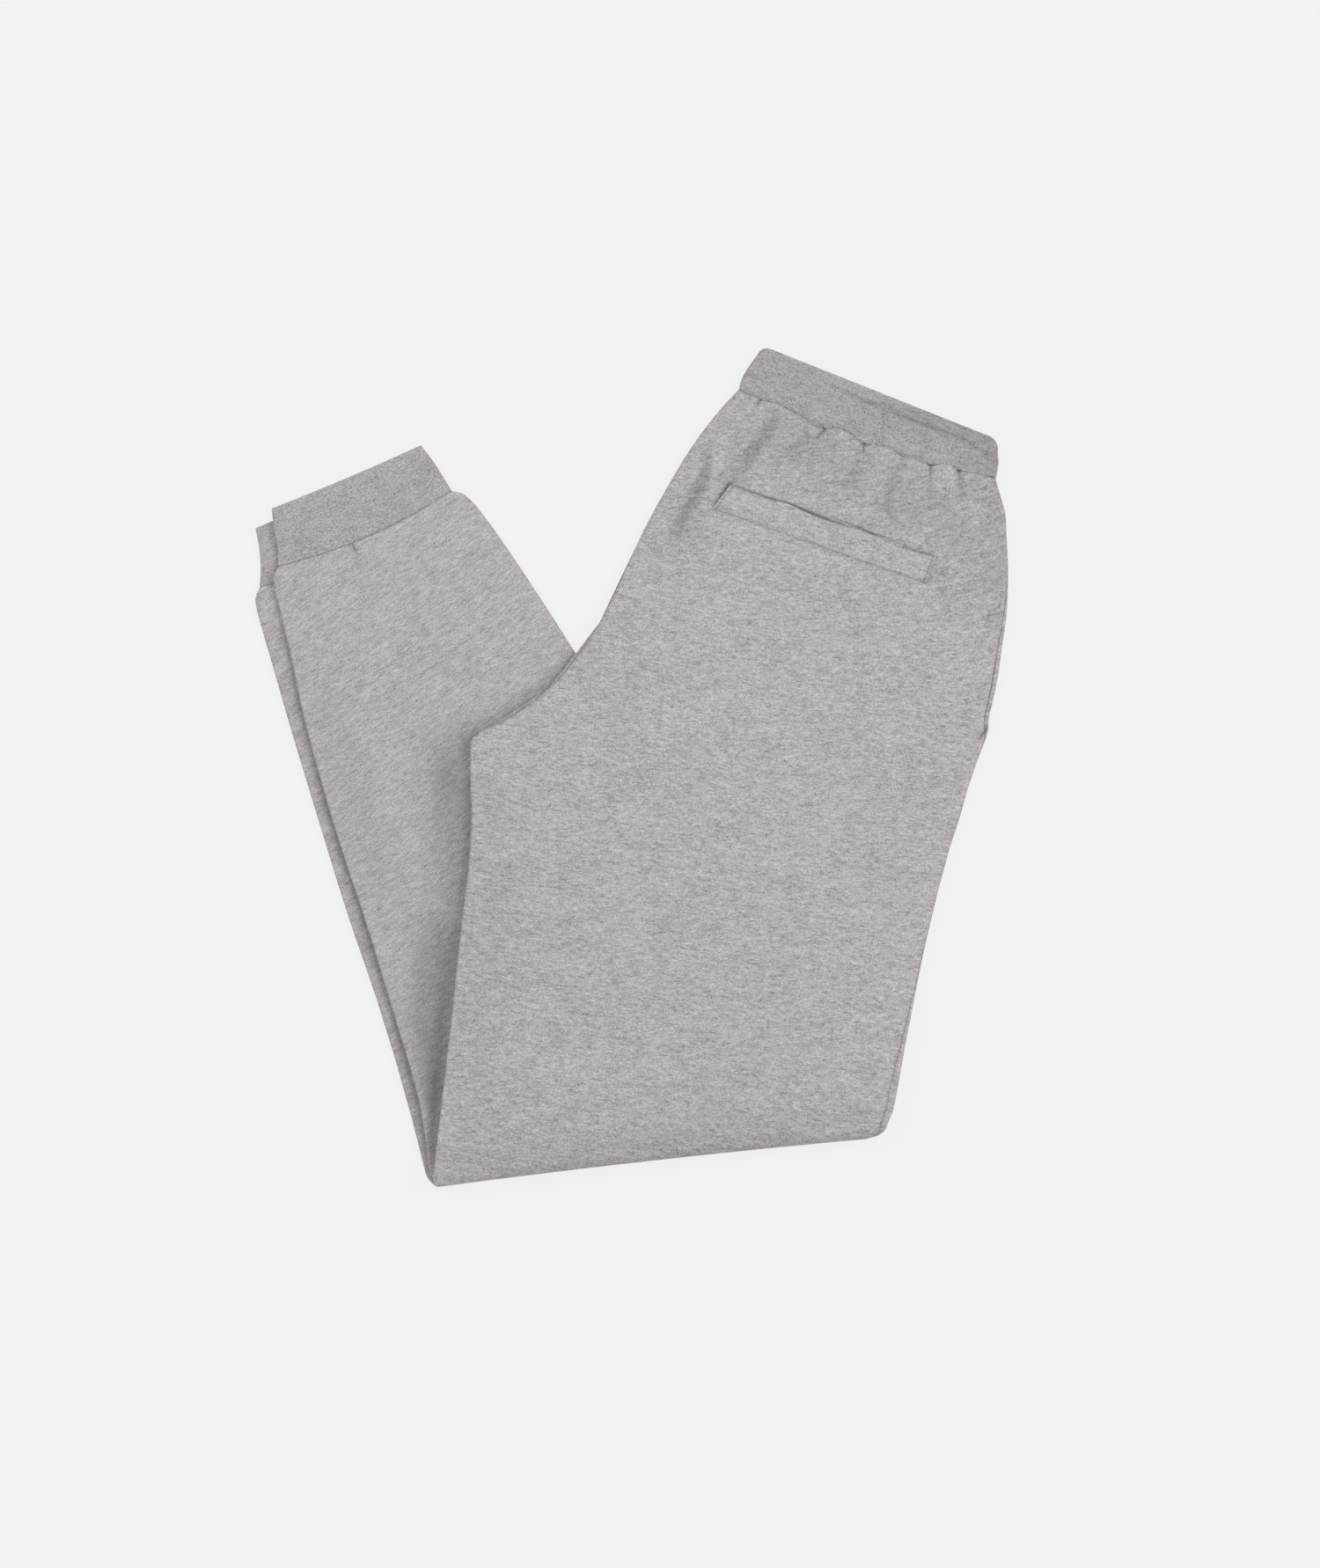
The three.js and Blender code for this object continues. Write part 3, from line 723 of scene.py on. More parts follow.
@dataclass
class Shell:
    """A closed wall whose seen face is fine and whose hidden face is coarser.

    Attributes:
        seen: Points of the seen face, as a grid.
        hidden: Points of the other face on the same grid.
        extras: Other values on the same grid, for both faces.
        row_step: Rows of the seen face for one of the hidden face.
        column_step: The same for columns.
    """

    seen: np.ndarray
    hidden: np.ndarray
    extras: tuple
    row_step: int
    column_step: int

    def __post_init__(self) -> None:
        """Picks the rows and columns that the hidden face keeps."""
        rows, columns = self.seen.shape[:2]
        self.kept_rows = np.unique([*range(0, rows, self.row_step), rows - 1])
        self.kept_columns = np.unique([*range(0, columns, self.column_step), columns - 1])

    def _thinned(self, grid: np.ndarray) -> np.ndarray:
        """The kept entries of a grid."""
        return grid[np.ix_(self.kept_rows, self.kept_columns)]

    def mesh(self, name: str) -> bpy.types.Object:
        """Makes the mesh.

        Args:
            name: Name of the object.

        Returns:
            The mesh object.
        """
        joined = []
        for front, back in ((self.seen, self.hidden), *self.extras):
            width = front.shape[-1]
            joined.append(np.vstack([front.reshape(-1, width), self._thinned(back).reshape(-1, width)]))
        rows, columns = self.seen.shape[:2]
        front = np.arange(rows * columns).reshape(rows, columns)
        back = rows * columns + np.arange(len(self.kept_rows) * len(self.kept_columns))
        back = back.reshape(len(self.kept_rows), len(self.kept_columns))
        faces = quads_of(front) + quads_of(back)
        borders = (
            (front[:, 0], back[:, 0], self.kept_rows),
            (front[:, -1], back[:, -1], self.kept_rows),
            (front[0], back[0], self.kept_columns),
            (front[-1], back[-1], self.kept_columns),
        )
        for near, far, kept in borders:
            for index, (start, end) in enumerate(zip(kept[:-1], kept[1:])):
                faces.append([*near[start : end + 1].tolist(), int(far[index + 1]), int(far[index])])
        return make_mesh(name, joined[0], faces, joined[1], joined[2])


def spaced(start: float, end: float, step: float) -> np.ndarray:
    """Evenly spaced numbers from start up to, and without, end.

    Args:
        start: First number.
        end: Where they stop.
        step: Largest distance between two of them.

    Returns:
        The numbers.
    """
    count = max(1, math.ceil((end - start) / step))
    return np.linspace(start, end, count, endpoint=False)


@dataclass(frozen=True)
class Cluster:
    """A stretch across a panel where its columns lie closer together.

    Attributes:
        start: Share of the way across where it starts.
        end: Share where it ends.
        step: Distance between columns in it.
    """

    start: float
    end: float
    step: float


WAIST_CLUSTERS = (
    Cluster(0.05, 0.115, 0.55),
    Cluster(0.13, 0.2, 0.75),
    Cluster(0.255, 0.36, 0.55),
    Cluster(0.49, 0.53, 0.5),
    Cluster(0.64, 0.67, 0.7),
    Cluster(0.735, 0.765, 0.5),
    Cluster(0.79, 0.84, 0.7),
    Cluster(0.85, 0.89, 0.7),
)


@dataclass
class Panel:
    """One cut panel of a leg, from the waist seam round the knee fold to the cuff seam.

    Attributes:
        node: The solid that it stands for.
        side: Which leg it is part of.
        level: Its place from the inside of the knee fold, 0 to 3.
        front: True for a front.
        seat_steps: Row spacing on the upper half, as pairs of end distance and step.
        shank_steps: The same on the lower leg.
        column_step: Distance between columns at the waist.
        clusters: Where the columns are closer together.
        relief: Puffs and creases of its seen face, with their painted shade, or None.
        flat: Width and length of the cut, in metres.
        area: Flat area of the cut in square metres.
        rim_steps: Distances of the columns at each rim from its edge.
        waist_width: Width at the waist seam, which the columns are spaced for.
        seam_depth: Depth to which a seam draws the cloth down.
        seam_half: How far from the seam it does so.
        seam_shade: Painted shade: share of light that the seam keeps from the cloth.
        scallop_reach: How far from the waist seam its scallops die out.
    """

    node: str
    side: Side
    level: int
    front: bool
    seat_steps: tuple
    shank_steps: tuple
    column_step: float
    clusters: tuple = ()
    relief: Relief | None = None
    flat: tuple = (0.37, 1.03)
    area: float = 0.25
    rim_steps: tuple = (0, 0.1, 0.3, 0.6, 1.0, 1.5, 2.2, 3.2, 4.6, 7.0, 10.0)
    waist_width: float = 185.0
    seam_depth: float = 0.38
    seam_half: float = 1.1
    seam_shade: float = 0.07
    scallop_reach: float = 9.0

    @property
    def outermost(self) -> bool:
        """True for the panel on the outside of the knee fold."""
        return self.level == LAYERS - 1

    @property
    def innermost(self) -> bool:
        """True for the panel on the inside of the knee fold, which is the top of the lower legs."""
        return self.level == 0

    def _rows(self) -> None:
        """Samples the sections along the whole panel into the row values."""
        track = SHANK[self.side]
        seat_at = self._distances_along(self.seat_steps, SEAT.length)
        shank_at = self._distances_along(self.shank_steps, track.length)
        turns = np.linspace(0, math.pi, FOLD_ROWS + 2)[1:-1]
        start, end = SEAT.sample(np.array([SEAT.length]))[0], track.sample(np.array([0.0]))[0]
        share = (turns / math.pi)[:, None]
        table = np.vstack([SEAT.sample(seat_at), start + (end - start) * share, track.sample(shank_at)])
        counts = (len(seat_at), len(turns), len(shank_at))
        self.turn = np.concatenate([np.zeros(counts[0]), turns, np.full(counts[2], math.pi)])[:, None]
        self.along = np.concatenate([seat_at, np.zeros(counts[1]), shank_at])[:, None]
        far = np.full(counts[0] + counts[1], np.inf)
        self.to_end = np.concatenate([far, track.length - shank_at])[:, None]
        part = np.repeat([0, 1, 2], counts)[:, None]
        self.in_seat, self.in_shank = part == 0, part == 2
        self.column = {name: table[:, index][:, None] for name, index in COLUMN.items()}
        start, end = table[:, 0:2], table[:, 2:4]
        self.width = np.linalg.norm(end - start, axis=1)[:, None]
        self.start, self.direction = start, (end - start) / self.width
        self.ahead = np.stack([-self.direction[:, 1], self.direction[:, 0]], -1)

    @staticmethod
    def _distances_along(steps: tuple, length: float) -> np.ndarray:
        """Spaces the rows along one half of the panel.

        Args:
            steps: Pairs of end distance and step; an end of None is the length.
            length: Length of that half.

        Returns:
            The distances of the rows.
        """
        places, start = [], 0.0
        for end, step in steps:
            stop = length if end is None else end
            places.append(spaced(start, stop, step))
            start = stop
        return np.concatenate([*places, [length]])

    def _plan(self, place: np.ndarray) -> tuple:
        """Places points on the folded garment's plan, with the waist seam's scallops.

        Args:
            place: Distances from the inner edge, one row for each section.

        Returns:
            Their X and their Y.
        """
        share = place / self.width
        rise = scallop(share) * np.exp(-((self.along / self.scallop_reach) ** 2)) if self.outermost else 0.0
        hang = self.column["bow"] * 4 * share * (1 - share) - rise * self.in_seat
        x = self.start[:, :1] + self.direction[:, :1] * place - self.ahead[:, :1] * hang
        y = self.start[:, 1:] + self.direction[:, 1:] * place - self.ahead[:, 1:] * hang
        return x, y

    def _distances_across(self, left: np.ndarray, right: np.ndarray) -> np.ndarray:
        """Spaces the columns, close together at the rims and clusters.

        Args:
            left: How far each row's inner rim lies from the section's end.
            right: The same at the outer rim.

        Returns:
            Distances from the inner edge, one row for each section.
        """
        rim = np.array(self.rim_steps)
        low, high = left + rim, self.width - right - rim[::-1]
        inset = self.rim_steps[-1]
        span = self.waist_width - 2 * inset
        shares = [spaced(0, 1, self.column_step / span)]
        for cluster in self.clusters:
            ends = [(share * self.waist_width - inset) / span for share in (cluster.start, cluster.end)]
            shares = [group[(group < ends[0]) | (group > ends[1])] for group in shares]
            shares.append(spaced(max(ends[0], 0), ends[1], cluster.step / span))
        share = np.unique(np.concatenate(shares))
        share = share[(share > 0.002) & (share < 0.998)]
        middle = low[:, -1:] + (high[:, :1] - low[:, -1:]) * share
        return np.hstack([low, middle, high])

    def _wall(
        self, distance: np.ndarray, left: np.ndarray, right: np.ndarray, x: np.ndarray, y: np.ndarray
    ) -> tuple:
        """Works out the wall, with its rims, lips, gathers and seams.

        Args:
            distance: Distances of the points from the inner edge.
            left: How far each row's inner rim lies from the section's end.
            right: The same at the outer rim.
            x: X of the points.
            y: Y of the points.

        Returns:
            Radius of the inner face, radius of the outer face and the painted shade.
        """
        from_side = self.width - right - distance
        from_edge = np.minimum(distance - left, from_side)
        share = np.clip(from_edge / RIM, 0, 1)
        rounding = np.maximum(RIM_LEAST, np.sqrt(1 - (1 - share) ** 2))
        inner = np.full(distance.shape, GAP / 2 + self.level * PITCH)
        outer = inner + CLOTH
        if self.level % 2:
            outer = inner + CLOTH * rounding
        else:
            inner = outer - CLOTH * rounding
        lip = {0: 1, LAYERS - 1: -1}.get(self.level, 0)
        bend = PITCH * self.column["lip"] * np.clip(1 - distance / LIP, 0, 1) ** 2 * lip * self.in_seat
        inner, outer = inner + bend, outer + bend
        # Painted shade of the creases, the seams and the shadows, carried to the cloth's colour
        shade = np.zeros(distance.shape)
        if self.relief:
            shade = self.relief.shade(x, y)
            if self.outermost or self.innermost:
                shade = shade * (self.in_shank if self.innermost else ~self.in_shank)
        if self.outermost:
            seam = np.exp(-((self.along / self.seam_half) ** 2)) * self.in_seat
            height = self.relief.height(x, y, from_edge) * self.in_seat - self.seam_depth * seam
            inner = inner + np.maximum(height, 0)
            outer = np.maximum(outer + np.maximum(height, -DEEPEST), inner + LEAST_WALL)
            shade = shade + self.seam_shade * seam
        if self.innermost:
            seam = np.exp(-((self.to_end / self.seam_half) ** 2))
            fullness = FULLNESS * np.exp(-(((self.to_end - FULLNESS_AT) / FULLNESS_REACH) ** 2))
            height = self.relief.height(x, y, from_edge) + fullness * smoothstep(from_edge, 0.5, 8)
            height = height * self.in_shank - self.seam_depth * seam
            inner = np.minimum(inner - np.maximum(height, -DEEPEST), outer - LEAST_WALL)
            shade = shade + self.seam_shade * seam
        if self.front and self.side is Side.RIGHT:
            show = np.maximum(self.column["show"], STRIP_LEAST)
            bead = np.sqrt(np.clip(1 - np.abs(from_side / (show / 2) - 1) ** STRIP_SQUARENESS, 0, 1))
            rise = np.minimum(STRIP_HIGHEST, STRIP_RISE * self.column["show"])
            outer = outer + bead * rise * ~self.in_shank
        return inner, outer, shade

    def build(self) -> bpy.types.Object:
        """Builds the panel's shell.

        Returns:
            The mesh object.
        """
        self._rows()
        bend = 1 - np.sqrt(1 - CORNER_BEND * np.sin(self.turn) ** 2)
        corner = bend * (GAP / 2 + self.level * PITCH + CLOTH) / FOLD_HEIGHT
        left = (self.column["tuck"] * self.in_seat if self.front else 0) + CORNER_IN * corner
        show = self.column["show"] * (1 - STRIP_FOLD_LOSS * np.sin(self.turn) ** 2) * ~self.in_shank
        right = (show if self.outermost else 0) + CORNER_OUT * corner
        distance = self._distances_across(left, right)
        from_edge = np.minimum(distance - left, self.width - right - distance)
        x, y = self._plan(distance)
        held = self._plan(np.clip(distance, MARGIN, self.width - MARGIN))
        free = np.clip(1 - (self.width - distance) / MARGIN, 0, 1) ** 2
        droop = self.column["droop"] * free * self.in_shank if self.side is Side.LEFT else 0
        lost = drop_at(*held) * self.in_seat + droop
        loft = LOFT * (1 - np.exp(-np.maximum(from_edge, 0) / LOFT_REACH))
        seat_loft = (loft + SEAT_WAVES.at(x, y)) * smoothstep(SEAT.length - self.along, 0, 40) * self.in_seat
        shank_loft = (loft + SHANK_WAVES.at(x, y)) * smoothstep(self.along, 0, 60) * self.in_shank
        inner, outer, shade = self._wall(distance, left, right, x, y)
        faces = []
        for radius, share in ((outer, (self.level + 1) / LAYERS), (inner, self.level / LAYERS)):
            reach = radius * np.sin(self.turn)
            height = FOLD_HEIGHT + radius * np.cos(self.turn) - lost
            height = height + seat_loft * share + shank_loft * (1 - share)
            spot = [x + FOLD_OUTWARD[0] * reach, y + FOLD_OUTWARD[1] * reach, np.maximum(height, 0)]
            faces.append(np.stack(spot, -1))
        cloth = self._cloth(x, y)
        seen, hidden = reversed(faces) if self.innermost else faces
        steps = STRIP_HIDDEN_STEPS if self.relief is STRIP_RELIEF else HIDDEN_STEPS
        extras = ((cloth, cloth), (shade[..., None],) * 2)
        return Shell(seen, hidden, extras, *steps).mesh(self.node + "_cloth")

    def _cloth(self, x: np.ndarray, y: np.ndarray) -> np.ndarray:
        """Lays the panel's points out on its flat cloth.

        Args:
            x: X of the points.
            y: Y of the points.

        Returns:
            Place of each point along the knit's courses, across them and through the cloth.
        """
        rolled = self.turn * 6.0 * ~(self.in_seat | self.in_shank)
        flat_x = x + FOLD_OUTWARD[0] * rolled
        flat_y = y + FOLD_OUTWARD[1] * rolled
        along, across = rotated(flat_x, flat_y, COURSES)
        rise = np.clip(along - COURSE_BEND_FROM, 0, None) ** 2 * COURSE_BEND * smoothstep(across, 20, 150)
        across = across - rise - np.clip(across - COURSE_BEND_FROM, 0, None) * COURSE_LEAN * along
        turned = rotated(flat_x, flat_y, LOWER_COURSES)
        lower = self.in_shank | (~self.in_seat & (self.side is Side.LEFT))
        u, v = np.where(lower, turned[0], along), np.where(lower, turned[1], across)
        return np.stack([u, v, np.full(u.shape, LAYER_OFFSET * self.level)], -1)


@dataclass(frozen=True)
class Turn:
    """A half turn of a folded band.

    Attributes:
        outer_end: True at the outer end.
        inset: Distance of its centre from that end.
        height: Height of its centre.
        radius: Radius of the wall's middle.
        first: Angle where it starts.
        sense: 1 anticlockwise, -1 clockwise.
    """

    outer_end: bool
    inset: float
    height: float
    radius: float
    first: float
    sense: int


@dataclass
class Band:
    """A folded band of rib: the waistband or an ankle cuff.

    Attributes:
        node: The solid that it stands for.
        rows: Its sections, from the seam to the open edge.
        turns: The half turns of the folded band, in order.
        wall: Its thickness.
        grain: Direction of its courses, in degrees.
        flat: Length round it and height, in metres.
        creases: Troughs in its top face, with their painted shade, and painted shade alone where a depth is
            nought.
        painted_face_shade: Painted shade: share of light that its whole face keeps, for the shade of its
            fine gathers where the elastic draws it together.
        corners: Radius of the corners at its open edge, inner end first.
        squeeze: Share of height lost beyond its first crease.
        roll: Distance of that crease from the open edge.
        tight: Width of its turns as a share of a round turn's.
        scalloped: True where its seam follows the waist seam's scallops.
        rests_on: What it lies on.
        waves: Unevenness of its top face.
        edge_steps: Distances of the stations at both edges.
        along_steps: How many stations lie between them.
        arc_steps: Steps round each turn.
        run_steps: Steps along each straight run.
        rim: Radius of the rounding at both edges.
        seam_wall: Share of the wall that is left at the seam.
        edge_wall: Share that is left at the open edge.
        seam_shade: Painted shade: share of light that the seam keeps from it.
    """

    node: str
    rows: tuple
    turns: tuple
    wall: float
    grain: float
    flat: tuple
    creases: tuple = ()
    painted_face_shade: float = 0.0
    corners: tuple = (0.0, 0.0)
    squeeze: float = 0.0
    roll: float = 9.5
    tight: float = 0.4
    scalloped: bool = False
    rests_on: tuple = ()
    waves: Undulation = Undulation(0.14, 34, 6, SEED + 2)
    edge_steps: tuple = (0, 0.1, 0.3, 0.6, 1.0, 1.5, 2.2)
    along_steps: int = 34
    arc_steps: int = 12
    run_steps: int = 70
    rim: float = 0.9
    seam_wall: float = 0.7
    edge_wall: float = 0.12
    seam_shade: float = 0.1

    def build(self) -> bpy.types.Object:
        """Builds the band's shell.

        Returns:
            The mesh object.
        """
        track = Track(self.rows, keys=np.linspace(0, 1, len(self.rows)))
        first, last = track.table[0], track.table[-1]
        height = np.linalg.norm((last[:2] + last[2:4] - first[:2] - first[2:4]) / 2)
        share = self._stations(height)
        rows = track.sample(share)
        top = max(turn.height + turn.radius for turn in self.turns) + self.wall / 2
        base = min(turn.height - turn.radius for turn in self.turns) - self.wall / 2
        rings, cloths, shades = [], [], []
        for face in (1, -1):
            for row, at in zip(rows, share):
                points, cloth, shade = self._ring(row, at * height, height, face, top, base)
                rings.append(points)
                cloths.append(cloth)
                shades.append(shade)
        around = len(rings[0])
        faces = self._faces(len(share), around).tolist()
        points, cloth, shade = (np.concatenate(group) for group in (rings, cloths, shades))
        return make_mesh(self.node + "_cloth", points, faces, cloth, shade)

    def _stations(self, height: float) -> np.ndarray:
        """Shares of the height, close together at both edges."""
        edge = np.array(self.edge_steps) / height
        middle = np.linspace(edge[-1], 1 - edge[-1], self.along_steps)[1:-1]
        return np.concatenate([edge, middle, 1 - edge[::-1]])

    def _path(self, width: float) -> tuple:
        """Draws the wall's middle line round the folded band.

        Args:
            width: Width of the folded band.

        Returns:
            Points of the line, as place across and height, and its normals.
        """
        places, normals = [], []
        for index, turn in enumerate(self.turns):
            centre = width - turn.inset if turn.outer_end else turn.inset
            angle = turn.first + turn.sense * np.linspace(0, math.pi, self.arc_steps + 1)
            spoke = np.stack([np.cos(angle), np.sin(angle)], -1)
            arc = np.array([centre, turn.height]) + turn.radius * spoke
            normal = -turn.sense * spoke
            following = self.turns[(index + 1) % len(self.turns)]
            target = width - following.inset if following.outer_end else following.inset
            target += following.radius * math.cos(following.first)
            share = np.linspace(0, 1, self.run_steps + 1)[1:-1, None]
            run = arc[-1:] + (np.array([[target, arc[-1, 1]]]) - arc[-1:]) * share
            places += [arc, run]
            normals += [normal, np.repeat(normal[-1:], len(run), axis=0)]
        return np.vstack(places), np.vstack(normals)

    def _ring(self, row: np.ndarray, at: float, height: float, face: int, top: float, base: float) -> tuple:
        """Draws one face of the wall at one station.

        Args:
            row: Section values of the station.
            at: Its distance from the seam.
            height: Distance of the open edge from the seam.
            face: 1 for the outer face, -1 for the inner one.
            top: Height of the folded band's top.
            base: Height of its underside.

        Returns:
            Points round the band, their place on the flat cloth and their painted shade.
        """
        start, end = row[0:2], row[2:4]
        direction = (end - start) / float(np.linalg.norm(end - start))
        past = [max(0.0, radius - height + at) for radius in self.corners]
        short = [radius - math.sqrt(max(0.0, radius**2 - far**2)) for radius, far in zip(self.corners, past)]
        start, end = start + direction * short[0], end - direction * short[1]
        width = float(np.linalg.norm(end - start))
        ahead = np.array([-direction[1], direction[0]])
        path, normal = self._path(width)
        edge = min(at, height - at)
        rounding = math.sqrt(max(0.0, 1 - (1 - min(1.0, edge / self.rim)) ** 2))
        offset = face * self.wall / 2 * max(self.edge_wall if at > edge else self.seam_wall, rounding)
        inner_end = max(turn.inset for turn in self.turns if not turn.outer_end)
        outer_end = max(turn.inset for turn in self.turns if turn.outer_end)
        place = np.interp(
            path[:, 0] + offset * normal[:, 0],
            [0, inner_end, width - outer_end, width],
            [0, inner_end * self.tight, width - outer_end * self.tight, width],
        )
        level = path[:, 1] + offset * normal[:, 1]
        share = np.clip(place / width, 0, 1)
        rise = scallop(share) * (1 - float(smoothstep(at, 0, 9))) if self.scalloped else 0.0
        hang = row[4] * 4 * share * (1 - share) - rise + 0.25 * (1 - float(smoothstep(at, 0, 2)))
        x = start[0] + direction[0] * place - ahead[0] * hang
        y = start[1] + direction[1] * place - ahead[1] * hang
        upper = smoothstep(level, top - self.wall, top)
        relief = self.waves.at(x, y) - sum(crease.depth * crease.at(x, y) for crease in self.creases)
        rolled = self.squeeze * float(smoothstep(self.roll - (height - at), 0, self.roll))
        lowered = base + (level - base) * (1 - rolled)
        z = np.maximum(lowered + relief * upper * min(1.0, edge / 2), 0)
        along, across = rotated(x, y, self.grain)
        # Painted shade of the creases, the seam and the whole top face
        shade = sum(crease.shade * crease.at(x, y) for crease in self.creases)
        shade = (self.painted_face_shade + shade + self.seam_shade * math.exp(-((at / self.rim) ** 2))) * upper
        return np.stack([x, y, z], -1), np.stack([along, across, level + 200], -1), shade

    @staticmethod
    def _faces(rows: int, around: int) -> np.ndarray:
        """Joins the rings to a closed wall.

        Args:
            rows: How many stations there are.
            around: How many points a ring has.

        Returns:
            The quads.
        """
        index = np.arange(2 * rows * around).reshape(2, rows, around)
        turned = np.roll(index, -1, axis=2)
        outer = np.stack([index[0, :-1], turned[0, :-1], turned[0, 1:], index[0, 1:]], -1)
        inner = np.stack([index[1, :-1], index[1, 1:], turned[1, 1:], turned[1, :-1]], -1)
        seam = np.stack([index[0, 0], index[1, 0], turned[1, 0], turned[0, 0]], -1)
        edge = np.stack([index[0, -1], turned[0, -1], turned[1, -1], index[1, -1]], -1)
        return np.vstack([group.reshape(-1, 4) for group in (outer, inner, seam, edge)])


def waist_turns(wall: float) -> tuple:
    """Turns of the waistband folded in four, the centre back round the centre front.

    Args:
        wall: Thickness of the band.

    Returns:
        The turns in order.
    """
    pitch = wall + GAP
    up = math.pi / 2
    side = (pitch + wall) / 2
    middle = 1.5 * pitch + wall / 2

    def level(layer: float) -> float:
        """Height of the middle of a layer, counted from the lowest."""
        return wall / 2 + layer * pitch

    return (
        Turn(True, side, level(2.5), pitch / 2, up, -1),
        Turn(False, middle, level(1.5), pitch / 2, up, 1),
        Turn(True, side, level(0.5), pitch / 2, up, -1),
        Turn(False, middle, level(1.5), 1.5 * pitch, -up, -1),
    )


def cuff_turns(wall: float, base: float) -> tuple:
    """Turns of a cuff lying flat.

    Args:
        wall: Thickness of the cuff.
        base: Height of its underside.

    Returns:
        The turns in order.
    """
    pitch = wall + GAP
    height = base + wall + GAP / 2
    inset = (pitch + wall) / 2
    up = math.pi / 2
    return Turn(True, inset, height, pitch / 2, up, -1), Turn(False, inset, height, pitch / 2, -up, -1)


WAIST_ROWS = (
    Section(72.9, 256.2, 247.8, 196.2, 5),
    Section(75, 263.5, 249.5, 206, 4.2),
    Section(79, 271, 249, 212.5, 2.8),
    Section(85, 279.4, 249.1, 215.8, 1),
    Section(89.1, 286.2, 249.2, 222.4, 0),
)
CUFF_ROWS = {
    Side.LEFT: (
        Section(-240.2, 136.4, -122.2, 187.9, 6),
        Section(-240.5, 148, -128.5, 198, 4),
        Section(-243, 162.5, -134.5, 207.5, 2),
        Section(-244.5, 175.5, -143, 218.5, 0.8),
    ),
    Side.RIGHT: (
        Section(-253.2, 122.4, -132.2, 174.9, 6),
        Section(-252.5, 134, -139, 186, 4),
        Section(-253.5, 149, -145.5, 196, 2),
        Section(-256, 162.5, -153, 206, 0),
    ),
}
# Crease, ridge and hollow across the waistband; painted shade in the crease and the hollow, and painted
# shade alone at its right end
WAIST_CREASE = Crease(
    ((128, 262), (145.5, 254.4), (166.5, 245.4), (185.7, 237.3), (205.5, 230.4), (227.7, 221.7),
     (239.7, 213.3), (247.5, 206.7)),
    1.5, (1.2, 1.8), shade=0.32, sharp=True,
)
WAIST_RIDGE = Crease(
    ((130, 257.5), (146, 249.5), (166, 240.5), (184.5, 233), (204, 226), (226, 217.3), (238, 209.5),
     (246, 203)),
    -1.0, (3.0, 3.6),
)
WAIST_HOLLOW = Crease(
    ((170, 249), (190, 241.5), (208, 235), (228, 227), (243, 217)), 0.5, (3.5, 5.0), shade=0.14,
)
WAIST_END = Crease(((242, 232), (246, 216), (247, 200)), 0.0, (5.0, 6.0), shade=0.13)


WELT_LENGTH = 150
WELT_GRAIN = -17.0
STITCH_RINGS = 7
STITCH_SIDES = 6
STITCH_ARCH = 0.2
STITCH_SUNK = 0.1


